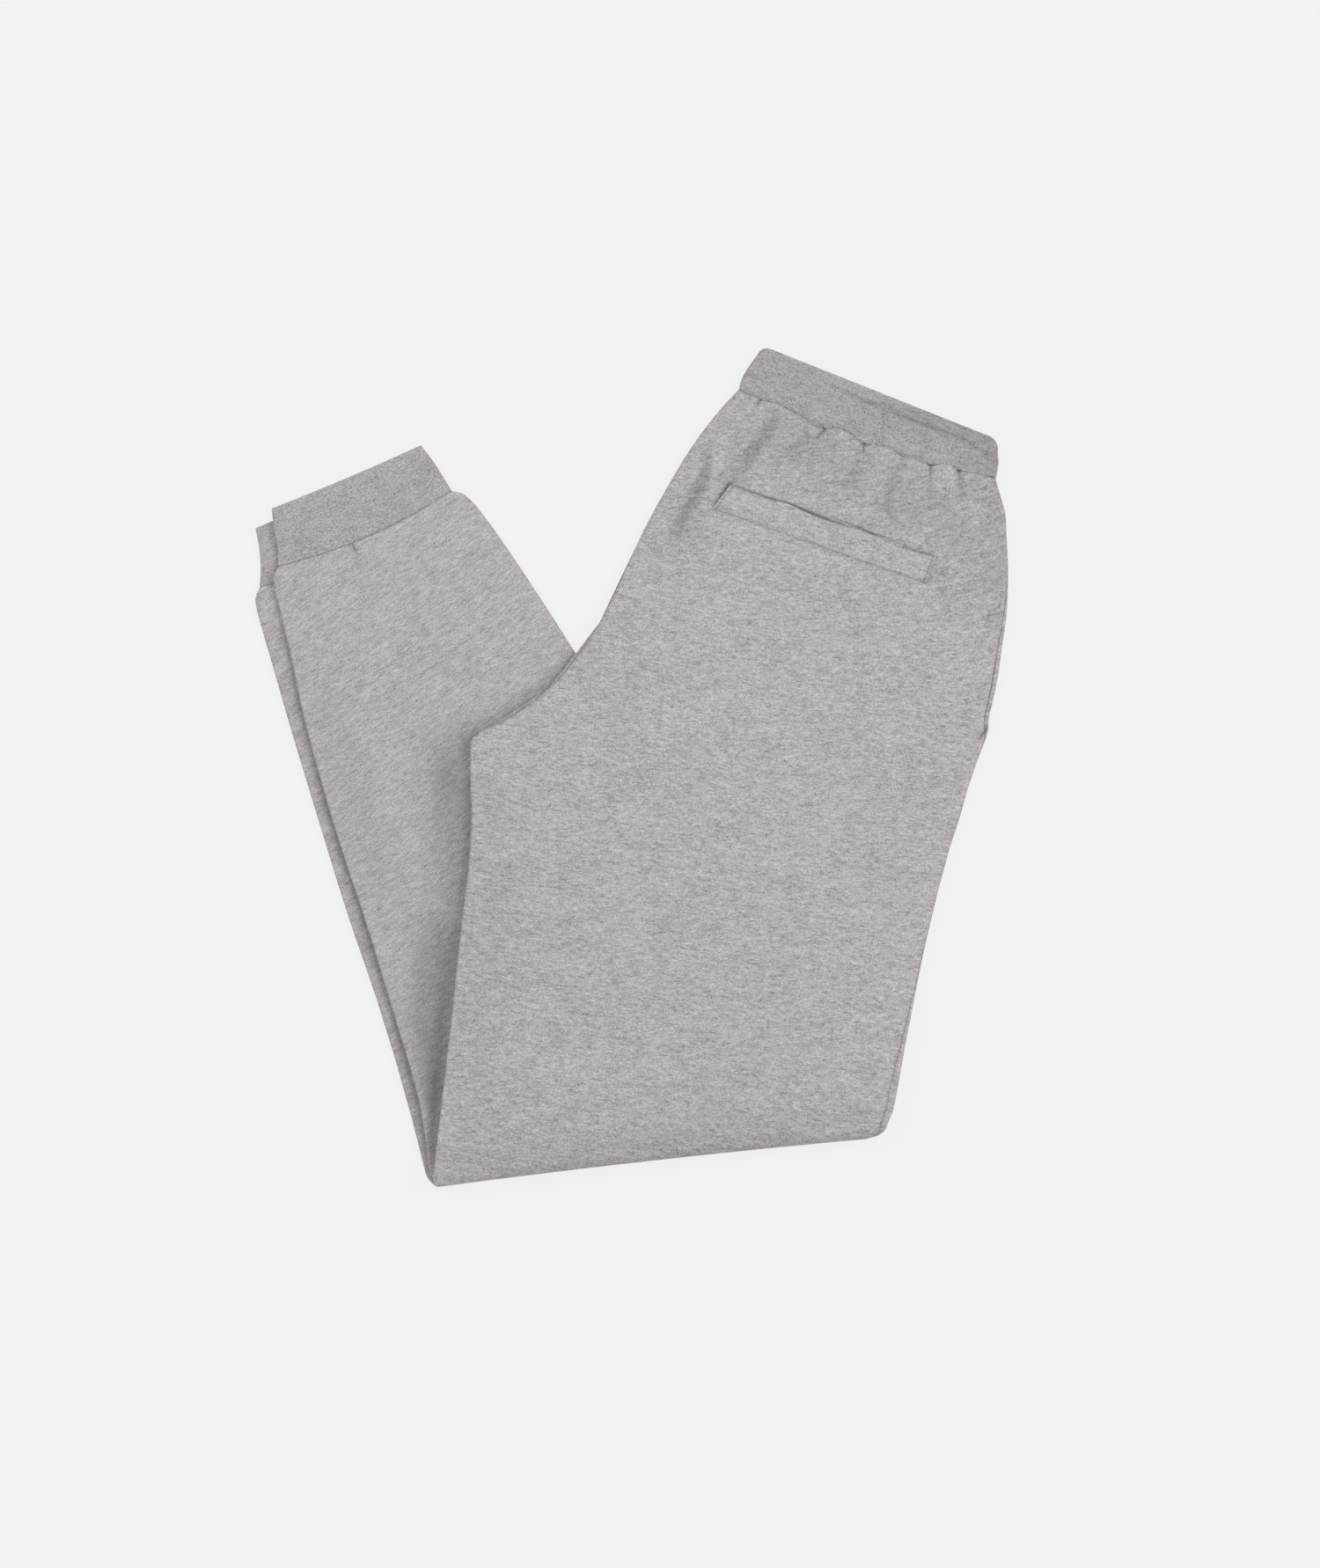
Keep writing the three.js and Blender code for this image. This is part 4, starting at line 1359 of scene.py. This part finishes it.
@dataclass
class BackPocket:
    """The back pocket's welt, lying on the right back, with its sewing.

    Attributes:
        node: The solid that the welt stands for.
        wall: Thickness of the welt.
        rim: Width of its rounded edge.
        stitch: Length of one stitch.
        thread: Diameter of the thread.
        pitch: Distance from one stitch to the next.
        flat: Length and height of the cut welt, in metres.
    """

    node: str = "back_pocket_welt"
    wall: float = 1.3
    rim: float = 1.0
    stitch: float = 2.2
    thread: float = 0.42
    pitch: float = 2.9
    flat: tuple = (0.154, 0.019)

    def welt(self) -> bpy.types.Object:
        """Builds the welt from points of the right back's outer face, moved out.

        Returns:
            The mesh object.
        """
        share = np.linspace(0, 1, 121)
        ends = np.array([0.002, 0.005, 0.0085, 0.0115, 0.0145, 0.018])
        share = np.unique(np.concatenate([share, ends, 1 - ends]))
        top = self._along(WELT_TOP, share)
        low = self._along(WELT_LOW, share)
        across = np.array([0, 0.02, 0.06, 0.12, 0.25, 0.4, 0.55, 0.7, 0.82, 0.9, 0.95, 0.985, 1.0])
        spots = low[:, None] + (top - low)[:, None] * across[None, :, None]
        height = np.linalg.norm(top - low, axis=1)[:, None]
        from_low, from_top = across * height, (1 - across) * height
        from_end = np.minimum(share, 1 - share)[:, None] * WELT_LENGTH
        edge = np.minimum(np.minimum(from_low, from_top), from_end)
        rounding = np.sqrt(1 - (1 - np.clip(edge / self.rim, 0, 1)) ** 2)
        sewn = 1 - 0.75 * np.exp(-((from_low / 1.6) ** 2)) - 0.6 * np.exp(-((from_end / 1.4) ** 2))
        gape = 0.9 * np.sin(math.pi * np.clip(share * 1.1, 0, 1))[:, None] * across**2
        x, y = spots[..., 0], spots[..., 1]
        under = seat_top(x, y) + 0.1
        wall = self.wall * np.maximum(0.15, rounding * np.clip(sewn, 0.2, 1))
        outer = np.stack([x, y, under + gape + wall], -1)
        inner = np.stack([x, y, under + gape * 0.5 - 0.05], -1)
        along, over = rotated(x, y, WELT_GRAIN)
        cloth = np.stack([along, over, np.full(x.shape, 330.0)], -1)
        # Painted shade of the pressed lines at the welt's ends and along its lower edge
        painted_end_lines = 0.14 * np.exp(-((from_end / 0.7) ** 2)) + 0.38 * np.exp(-(((from_end - 2.2) / 0.55) ** 2))
        shade = 0.16 * np.exp(-((from_low / 0.7) ** 2)) + painted_end_lines
        shades = (shade[..., None], np.zeros((*shade.shape, 1)))
        return Shell(outer, inner, ((cloth, cloth), shades), 1, 1).mesh(self.node + "_cloth")

    def stitches(self) -> bpy.types.Object:
        """Builds the rows of stitches round the welt as one mesh.

        Returns:
            The mesh object.
        """
        rows = (
            (((58.0, 173.2), (199.0, 123.6)), 0.16),
            (((206.0, 142.4), (199.4, 126.2)), 1.38),
            (((80.5, 189.8), (104.8, 182.6), (131.5, 173.2), (160.5, 165.0), (186, 154.5)), 0.0),
        )
        points, faces, count = [], [], 0
        for line, lift in rows:
            corners = np.array(line, float)
            length = np.linalg.norm(np.diff(corners, axis=0), axis=1).sum()
            starts = np.arange(self.pitch / 2, length - self.stitch, self.pitch)
            for start in starts:
                ends = self._along(line, np.array([start, start + self.stitch]) / length)
                capsule, quads = self._capsule(ends[0], ends[1], lift)
                points.append(capsule)
                faces.append(quads + count)
                count += len(capsule)
        spots = np.concatenate(points)
        return make_mesh("welt_stitches", spots, np.vstack(faces).tolist(), spots, np.zeros(len(spots)))

    def _capsule(self, start: np.ndarray, end: np.ndarray, lift: float) -> tuple:
        """Builds one stitch, arched, with its ends sunk into the cloth.

        Args:
            start: X and Y of its start.
            end: X and Y of its end.
            lift: How far it lies above the right back.

        Returns:
            Its points and its quads.
        """
        share = np.linspace(0, 1, STITCH_RINGS)
        spot = start + (end - start) * share[:, None]
        side = np.array([-(end - start)[1], (end - start)[0]]) / np.linalg.norm(end - start)
        ground = seat_top(spot[:, 0], spot[:, 1])
        height = ground.max() + lift + STITCH_ARCH * np.sin(math.pi * share) - STITCH_SUNK
        angle = np.linspace(0, 2 * math.pi, STITCH_SIDES, endpoint=False)
        size = self.thread / 2 * np.maximum(0.25, np.sin(math.pi * (0.06 + 0.88 * share)) ** 0.5)
        ring_x = spot[:, :1] + side[0] * size[:, None] * np.cos(angle)
        ring_y = spot[:, 1:] + side[1] * size[:, None] * np.cos(angle)
        ring_z = height[:, None] + size[:, None] * np.sin(angle)
        points = np.stack([ring_x, ring_y, ring_z], -1).reshape(-1, 3)
        index = np.arange(len(points)).reshape(STITCH_RINGS, STITCH_SIDES)
        turned = np.roll(index, -1, axis=1)
        quads = np.stack([index[:-1], turned[:-1], turned[1:], index[1:]], -1).reshape(-1, 4)
        halves = ([0, 1, 2, 3], [0, 3, 4, 5])
        caps = [index[0][half[::-1]] for half in halves] + [index[-1][half] for half in halves]
        return points, np.vstack([quads, caps])

    @staticmethod
    def _along(line: tuple, share: np.ndarray) -> np.ndarray:
        """Places points along a bent line.

        Args:
            line: Its corners.
            share: Shares of its length.

        Returns:
            The points.
        """
        corners = np.array(line, float)
        reach = np.concatenate([[0], np.cumsum(np.linalg.norm(np.diff(corners, axis=0), axis=1))])
        at = np.clip(share, 0, 1) * reach[-1]
        return np.stack([np.interp(at, reach, corners[:, 0]), np.interp(at, reach, corners[:, 1])], -1)


class Value:
    """A number of a shader that takes part in arithmetic."""

    def __init__(self, graph: "Graph", socket: bpy.types.NodeSocket) -> None:
        """Keeps the graph and the output socket."""
        self.graph = graph
        self.socket = socket

    def _math(self, operation: str, first: object, second: object) -> "Value":
        """Adds a Math node for two operands."""
        node = self.graph.node("ShaderNodeMath", {"operation": operation}, {0: first, 1: second})
        return Value(self.graph, node.outputs[0])

    def __add__(self, other: object) -> "Value":
        """Sum."""
        return self._math("ADD", self, other)

    __radd__ = __add__

    def __sub__(self, other: object) -> "Value":
        """Difference."""
        return self._math("SUBTRACT", self, other)

    def __rsub__(self, other: object) -> "Value":
        """Difference from a number."""
        return self._math("SUBTRACT", other, self)

    def __mul__(self, other: object) -> "Value":
        """Product."""
        return self._math("MULTIPLY", self, other)

    __rmul__ = __mul__

    def clamped(self) -> "Value":
        """The number kept between 0 and 1."""
        node = self.graph.node("ShaderNodeClamp", {}, {0: self})
        return Value(self.graph, node.outputs[0])


class Graph:
    """The node graph of one material."""

    def __init__(self, name: str) -> None:
        """Starts an empty material with an output."""
        self.material = bpy.data.materials.new(name)
        self.material.use_nodes = True
        self.tree = self.material.node_tree
        self.tree.nodes.clear()
        self.output = self.tree.nodes.new("ShaderNodeOutputMaterial")

    def node(self, kind: str, settings: dict, inputs: dict) -> bpy.types.Node:
        """Adds a node.

        Args:
            kind: Its type.
            settings: Its properties, which are set first.
            inputs: Value or link for each socket, by name or index.

        Returns:
            The node.
        """
        node = self.tree.nodes.new(kind)
        for name, value in settings.items():
            setattr(node, name, value)
        for key, value in inputs.items():
            socket = node.inputs[key]
            if isinstance(value, Value):
                self.tree.links.new(value.socket, socket)
            elif isinstance(value, bpy.types.NodeSocket):
                self.tree.links.new(value, socket)
            else:
                socket.default_value = value
        return node

    def cloth(self, stretch: tuple) -> bpy.types.NodeSocket:
        """The place on the flat cloth, with each axis multiplied.

        Args:
            stretch: Multipliers along the courses, across them and through the cloth.

        Returns:
            The vector socket.
        """
        place = self.node("ShaderNodeAttribute", {"attribute_name": "cloth"}, {})
        scaled = self.node(
            "ShaderNodeVectorMath", {"operation": "MULTIPLY"}, {0: place.outputs["Vector"], 1: stretch}
        )
        return scaled.outputs[0]

    def noise(self, grain: "Grain") -> Value:
        """Noise on the flat cloth, centred on nought.

        Args:
            grain: Size of its cells and its octaves.

        Returns:
            The noise, about -0.5 to 0.5.
        """
        stretch = (1 / grain.along, 1 / grain.across, 1 / grain.across)
        node = self.node(
            "ShaderNodeTexNoise",
            {"noise_dimensions": "3D"},
            {"Vector": self.cloth(stretch), "Scale": 1.0, "Detail": grain.detail, "Roughness": 0.55},
        )
        return Value(self, node.outputs[0]) - 0.5

    def mix(self, factor: Value, first: tuple, second: tuple) -> bpy.types.NodeSocket:
        """Mixes two colours.

        Args:
            factor: Share of the second colour.
            first: Colour at nought.
            second: Colour at one.

        Returns:
            The colour socket.
        """
        node = self.node("ShaderNodeMix", {"data_type": "RGBA"}, {0: factor, 6: first, 7: second})
        return node.outputs[2]

    def finish(self, shader: bpy.types.NodeSocket) -> bpy.types.Material:
        """Joins a shader to the output.

        Args:
            shader: The shader's socket.

        Returns:
            The material.
        """
        self.tree.links.new(shader, self.output.inputs["Surface"])
        return self.material


def linear(rgb: tuple) -> tuple:
    """Turns display colour values of 0 to 255 into a linear colour with alpha.

    Args:
        rgb: The three values.

    Returns:
        The linear colour.
    """
    def channel(value: float) -> float:
        """Turns one display value into a linear one."""
        share = value / 255
        return share / 12.92 if share <= 0.04045 else ((share + 0.055) / 1.055) ** 2.4

    return (*(channel(value) for value in rgb), 1.0)


@dataclass(frozen=True)
class Grain:
    """One size of unevenness in the colour of a cloth.

    Attributes:
        along: Its length along the courses, in metres.
        across: Its width across them.
        weight: Its strength.
        detail: Octaves.
    """

    along: float
    across: float
    weight: float
    detail: float = 0.0


@dataclass(frozen=True)
class HeatherCloth:
    """Mixed grey knit: dark and light fibres drawn out along the courses, with a brushed surface.

    Attributes:
        name: Name of the material.
        dark: Display colour of the darkest fibres.
        light: Display colour of the lightest.
        shade_paint_colour: Display colour of the painted shade, deep in a crease.
        flecks: The finest fibres, which also give the bump.
        streaks: Fibres drawn out along the courses.
        rib: Distance between two ribs in metres, or nought.
        fuzz: Depth of the surface bump in metres.
    """

    name: str
    dark: tuple
    light: tuple
    shade_paint_colour: tuple = (52, 50, 50)
    flecks: Grain = Grain(0.0012, 0.0009, 1.3, 1.0)
    streaks: tuple = (Grain(0.0046, 0.0012, 0.56), Grain(0.0092, 0.0028, 0.38), Grain(0.024, 0.009, 0.17))
    rib: float = 0.0
    fuzz: float = 0.00012

    def material(self) -> bpy.types.Material:
        """Builds the material.

        Returns:
            The material.
        """
        graph = Graph(self.name)
        flecks = graph.noise(self.flecks)
        drawn = sum(graph.noise(grain) * grain.weight for grain in self.streaks)
        tone = (0.5 + drawn + flecks * self.flecks.weight).clamped()
        fibres = graph.mix(tone, linear(self.dark), linear(self.light))
        # Painted shade: the fibres' colour is mixed towards a dark crease colour in creases, seams and
        # shadows
        painted_crease_shade = graph.node("ShaderNodeAttribute", {"attribute_name": "painted_crease_shade"}, {})
        colour = graph.mix(Value(graph, painted_crease_shade.outputs["Fac"]), fibres, linear(self.shade_paint_colour))
        height = flecks + drawn * 0.6
        if self.rib:
            place = graph.node("ShaderNodeSeparateXYZ", {}, {0: graph.cloth((1 / self.rib, 1, 1))})
            angle = Value(graph, place.outputs[0]) * (2 * math.pi)
            wave = graph.node("ShaderNodeMath", {"operation": "SINE"}, {0: angle})
            height = height + Value(graph, wave.outputs[0]) * 0.25
        bump = graph.node("ShaderNodeBump", {}, {"Strength": 1.0, "Distance": self.fuzz, "Height": height})
        shader = graph.node(
            "ShaderNodeBsdfPrincipled",
            {},
            {
                "Base Color": colour,
                "Roughness": 0.95,
                "Specular IOR Level": 0.12,
                "Sheen Weight": 0.12,
                "Sheen Roughness": 0.55,
                "Normal": bump.outputs[0],
            },
        )
        return graph.finish(shader.outputs[0])


@dataclass(frozen=True)
class Thread:
    """Sewing thread in the colour of the cloth.

    Attributes:
        name: Name of the material.
        dark: Display colour of its darker mottle.
        light: Display colour of its lighter mottle.
    """

    name: str
    dark: tuple
    light: tuple

    def material(self) -> bpy.types.Material:
        """Builds the material.

        Returns:
            The material.
        """
        graph = Graph(self.name)
        twist = (graph.noise(Grain(0.0004, 0.0004, 1.0, 1.0)) + 0.5).clamped()
        colour = graph.mix(twist, linear(self.dark), linear(self.light))
        inputs = {"Base Color": colour, "Roughness": 0.7, "Specular IOR Level": 0.3}
        shader = graph.node("ShaderNodeBsdfPrincipled", {}, inputs)
        return graph.finish(shader.outputs[0])


SWEAT = HeatherCloth("heather_sweat_cloth", dark=(134, 130, 129), light=(214, 210, 209))
RIB = HeatherCloth(
    "heather_rib_cloth",
    dark=(127, 123, 122),
    light=(205, 201, 200),
    flecks=Grain(0.0012, 0.0009, 1.6, 1.0),
    streaks=(Grain(0.0030, 0.0012, 0.5), Grain(0.0092, 0.0035, 0.3), Grain(0.024, 0.009, 0.17)),
    rib=0.0016,
)
THREAD = Thread("grey_thread", dark=(180, 177, 175), light=(230, 227, 225))


@dataclass
class Studio:
    """Pale surface, soft light and the camera straight above.

    Attributes:
        lens: Focal length in millimetres.
        sensor: Long side of the sensor in millimetres.
        centre: Where the camera looks, in millimetres.
        distance: Height of the camera above the surface.
        floor_tone: Display grey of the surface.
        glow: Share of the surface's tone that shadows don't reach.
        dome: Strength of the even light from all round.
    """

    lens: float = 85.0
    sensor: float = 36.0
    centre: tuple = (19.5, -11.7)
    distance: float = 2524.0
    floor_tone: float = 242.0
    glow: float = 0.93
    dome: float = 0.5

    def camera(self) -> None:
        """Places the camera straight above the garment."""
        data = bpy.data.cameras.new("camera")
        data.lens = self.lens
        data.sensor_width = self.sensor
        data.clip_end = 20
        camera = bpy.data.objects.new("camera", data)
        camera.location = (self.centre[0] * MM, self.centre[1] * MM, self.distance * MM)
        bpy.context.scene.collection.objects.link(camera)
        bpy.context.scene.camera = camera

    def surface(self) -> None:
        """Makes the pale surface that the garment lies on."""
        size = 12.0
        corners = [(-size, -size, 0), (size, -size, 0), (size, size, 0), (-size, size, 0)]
        mesh = bpy.data.meshes.new("surface")
        mesh.from_pydata(corners, [], [(0, 1, 2, 3)])
        surface = bpy.data.objects.new("surface", mesh)
        surface.location.z = -0.0004
        bpy.context.scene.collection.objects.link(surface)
        graph = Graph("pale_surface")
        tone = linear((self.floor_tone,) * 3)
        matte = graph.node("ShaderNodeBsdfDiffuse", {}, {"Color": tone})
        glow = graph.node("ShaderNodeEmission", {}, {"Color": tone, "Strength": 1.0})
        mixed = graph.node(
            "ShaderNodeMixShader", {}, {0: self.glow, 1: matte.outputs[0], 2: glow.outputs[0]}
        )
        mesh.materials.append(graph.finish(mixed.outputs[0]))

    def light(self, name: str, place: tuple, size: float, power: float) -> None:
        """Adds a square soft light that faces the garment.

        Args:
            name: Its name.
            place: Its position in metres.
            size: Its side in metres.
            power: Its power in watts.
        """
        data = bpy.data.lights.new(name, "AREA")
        data.size = size
        data.energy = power
        lamp = bpy.data.objects.new(name, data)
        lamp.location = place
        lamp.rotation_mode = "QUATERNION"
        lamp.rotation_quaternion = (-Vector(place)).to_track_quat("-Z", "Y")
        bpy.context.scene.collection.objects.link(lamp)

    def build(self) -> None:
        """Builds the whole studio."""
        scene = bpy.context.scene
        scene.view_settings.view_transform = "Standard"
        world = bpy.data.worlds.new("studio")
        world.use_nodes = True
        background = world.node_tree.nodes["Background"]
        background.inputs["Color"].default_value = (1.0, 1.0, 1.0, 1.0)
        background.inputs["Strength"].default_value = self.dome
        scene.world = world
        self.camera()
        self.surface()
        self.light("right", (1.9, 0.7, 2.3), 1.3, 31.4)
        self.light("left", (-1.7, 1.3, 2.3), 1.3, 25.4)
        self.light("near", (0.2, -2.2, 2.0), 1.3, 7.0)


@dataclass
class Joggers:
    """The folded garment: four panels, a waistband, two cuffs and a back pocket.

    Attributes:
        band_wall: Thickness of the waistband.
    """

    band_wall: float = 2.4

    def panels(self) -> tuple:
        """Lists the four panels, from the inside of the knee fold to its outside.

        Returns:
            The panels.
        """
        left, right = Side.LEFT, Side.RIGHT
        strip = (0, 0.1, 0.3, 0.6, 1.0, 1.5, 2.1, 2.7, 3.4, 4.2, 5.2, 6.6, 9.0)
        upper = ((9, 0.5), (44, 1.1), (96, 0.65), (208, 3.6), (230, 1.0), (None, 3.6))
        return (
            Panel("left_back_panel", left, 0, False, ((None, 12.0),), ((400, 3.0), (None, 0.8)), 1.4,
                  clusters=(Cluster(0.375, 0.415, 0.5),), relief=SHANK_RELIEF),
            Panel("left_front_panel", left, 1, True, ((None, 7.0),), ((None, 7.0),), 4.0),
            Panel("right_front_panel", right, 2, True, ((208, 5.0), (230, 1.0), (None, 5.0)),
                  ((None, 5.0),), 4.0, rim_steps=strip, relief=STRIP_RELIEF),
            Panel("right_back_panel", right, 3, False, upper, ((None, 14.0),), 1.3, clusters=WAIST_CLUSTERS,
                  relief=SEAT_RELIEF),
        )

    def bands(self) -> tuple:
        """Lists the waistband and the two cuffs.

        Returns:
            The bands.
        """
        return (
            Band("waistband", WAIST_ROWS, waist_turns(self.band_wall), self.band_wall, -21.0, (0.68, 0.036),
                 creases=(WAIST_CREASE, WAIST_RIDGE, WAIST_HOLLOW, WAIST_END), painted_face_shade=0.075,
                 corners=(5.0, 6.0), squeeze=0.16, tight=0.35, scalloped=True, rests_on=("surface",)),
            Band("left_cuff", CUFF_ROWS[Side.LEFT], cuff_turns(CLOTH, 2 * PITCH), CLOTH, 27.0, (0.25, 0.042),
                 run_steps=50, rests_on=("right_cuff_cloth",)),
            Band("right_cuff", CUFF_ROWS[Side.RIGHT], cuff_turns(CLOTH, 0), CLOTH, 27.0, (0.25, 0.042),
                 run_steps=50, rests_on=("surface",)),
        )

    @staticmethod
    def dress(
        piece: bpy.types.Object, node: str | None, slot: Slot, material: bpy.types.Material
    ) -> None:
        """Gives a piece its material and body, and hides the solid that it stands for.

        Args:
            piece: The piece.
            node: The solid, or None.
            slot: Material slot of the record; not used.
            material: Its finish.
        """
        piece.data.materials.clear()
        piece.data.materials.append(material)
        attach(piece, BODY)
        if node:
            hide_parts(node)
        LOG.info("%s: %d faces", piece.name, len(piece.data.polygons))

    def build(self) -> None:
        """Builds and dresses every piece."""
        sweat, rib, thread = SWEAT.material(), RIB.material(), THREAD.material()
        for panel in self.panels():
            piece = panel.build()
            self.dress(piece, panel.node, Slot.SWEAT, sweat)
        for band in self.bands():
            piece = band.build()
            self.dress(piece, band.node, Slot.RIB, rib)
        pocket = BackPocket()
        welt = pocket.welt()
        self.dress(welt, pocket.node, Slot.SWEAT, sweat)
        stitches = pocket.stitches()
        self.dress(stitches, None, Slot.SWEAT, thread)


def main() -> None:
    """Builds the studio and the garment."""
    logging.basicConfig(level=logging.INFO, format="%(name)s: %(message)s")
    Studio().build()
    Joggers().build()


if __name__ == "__main__":
    main()
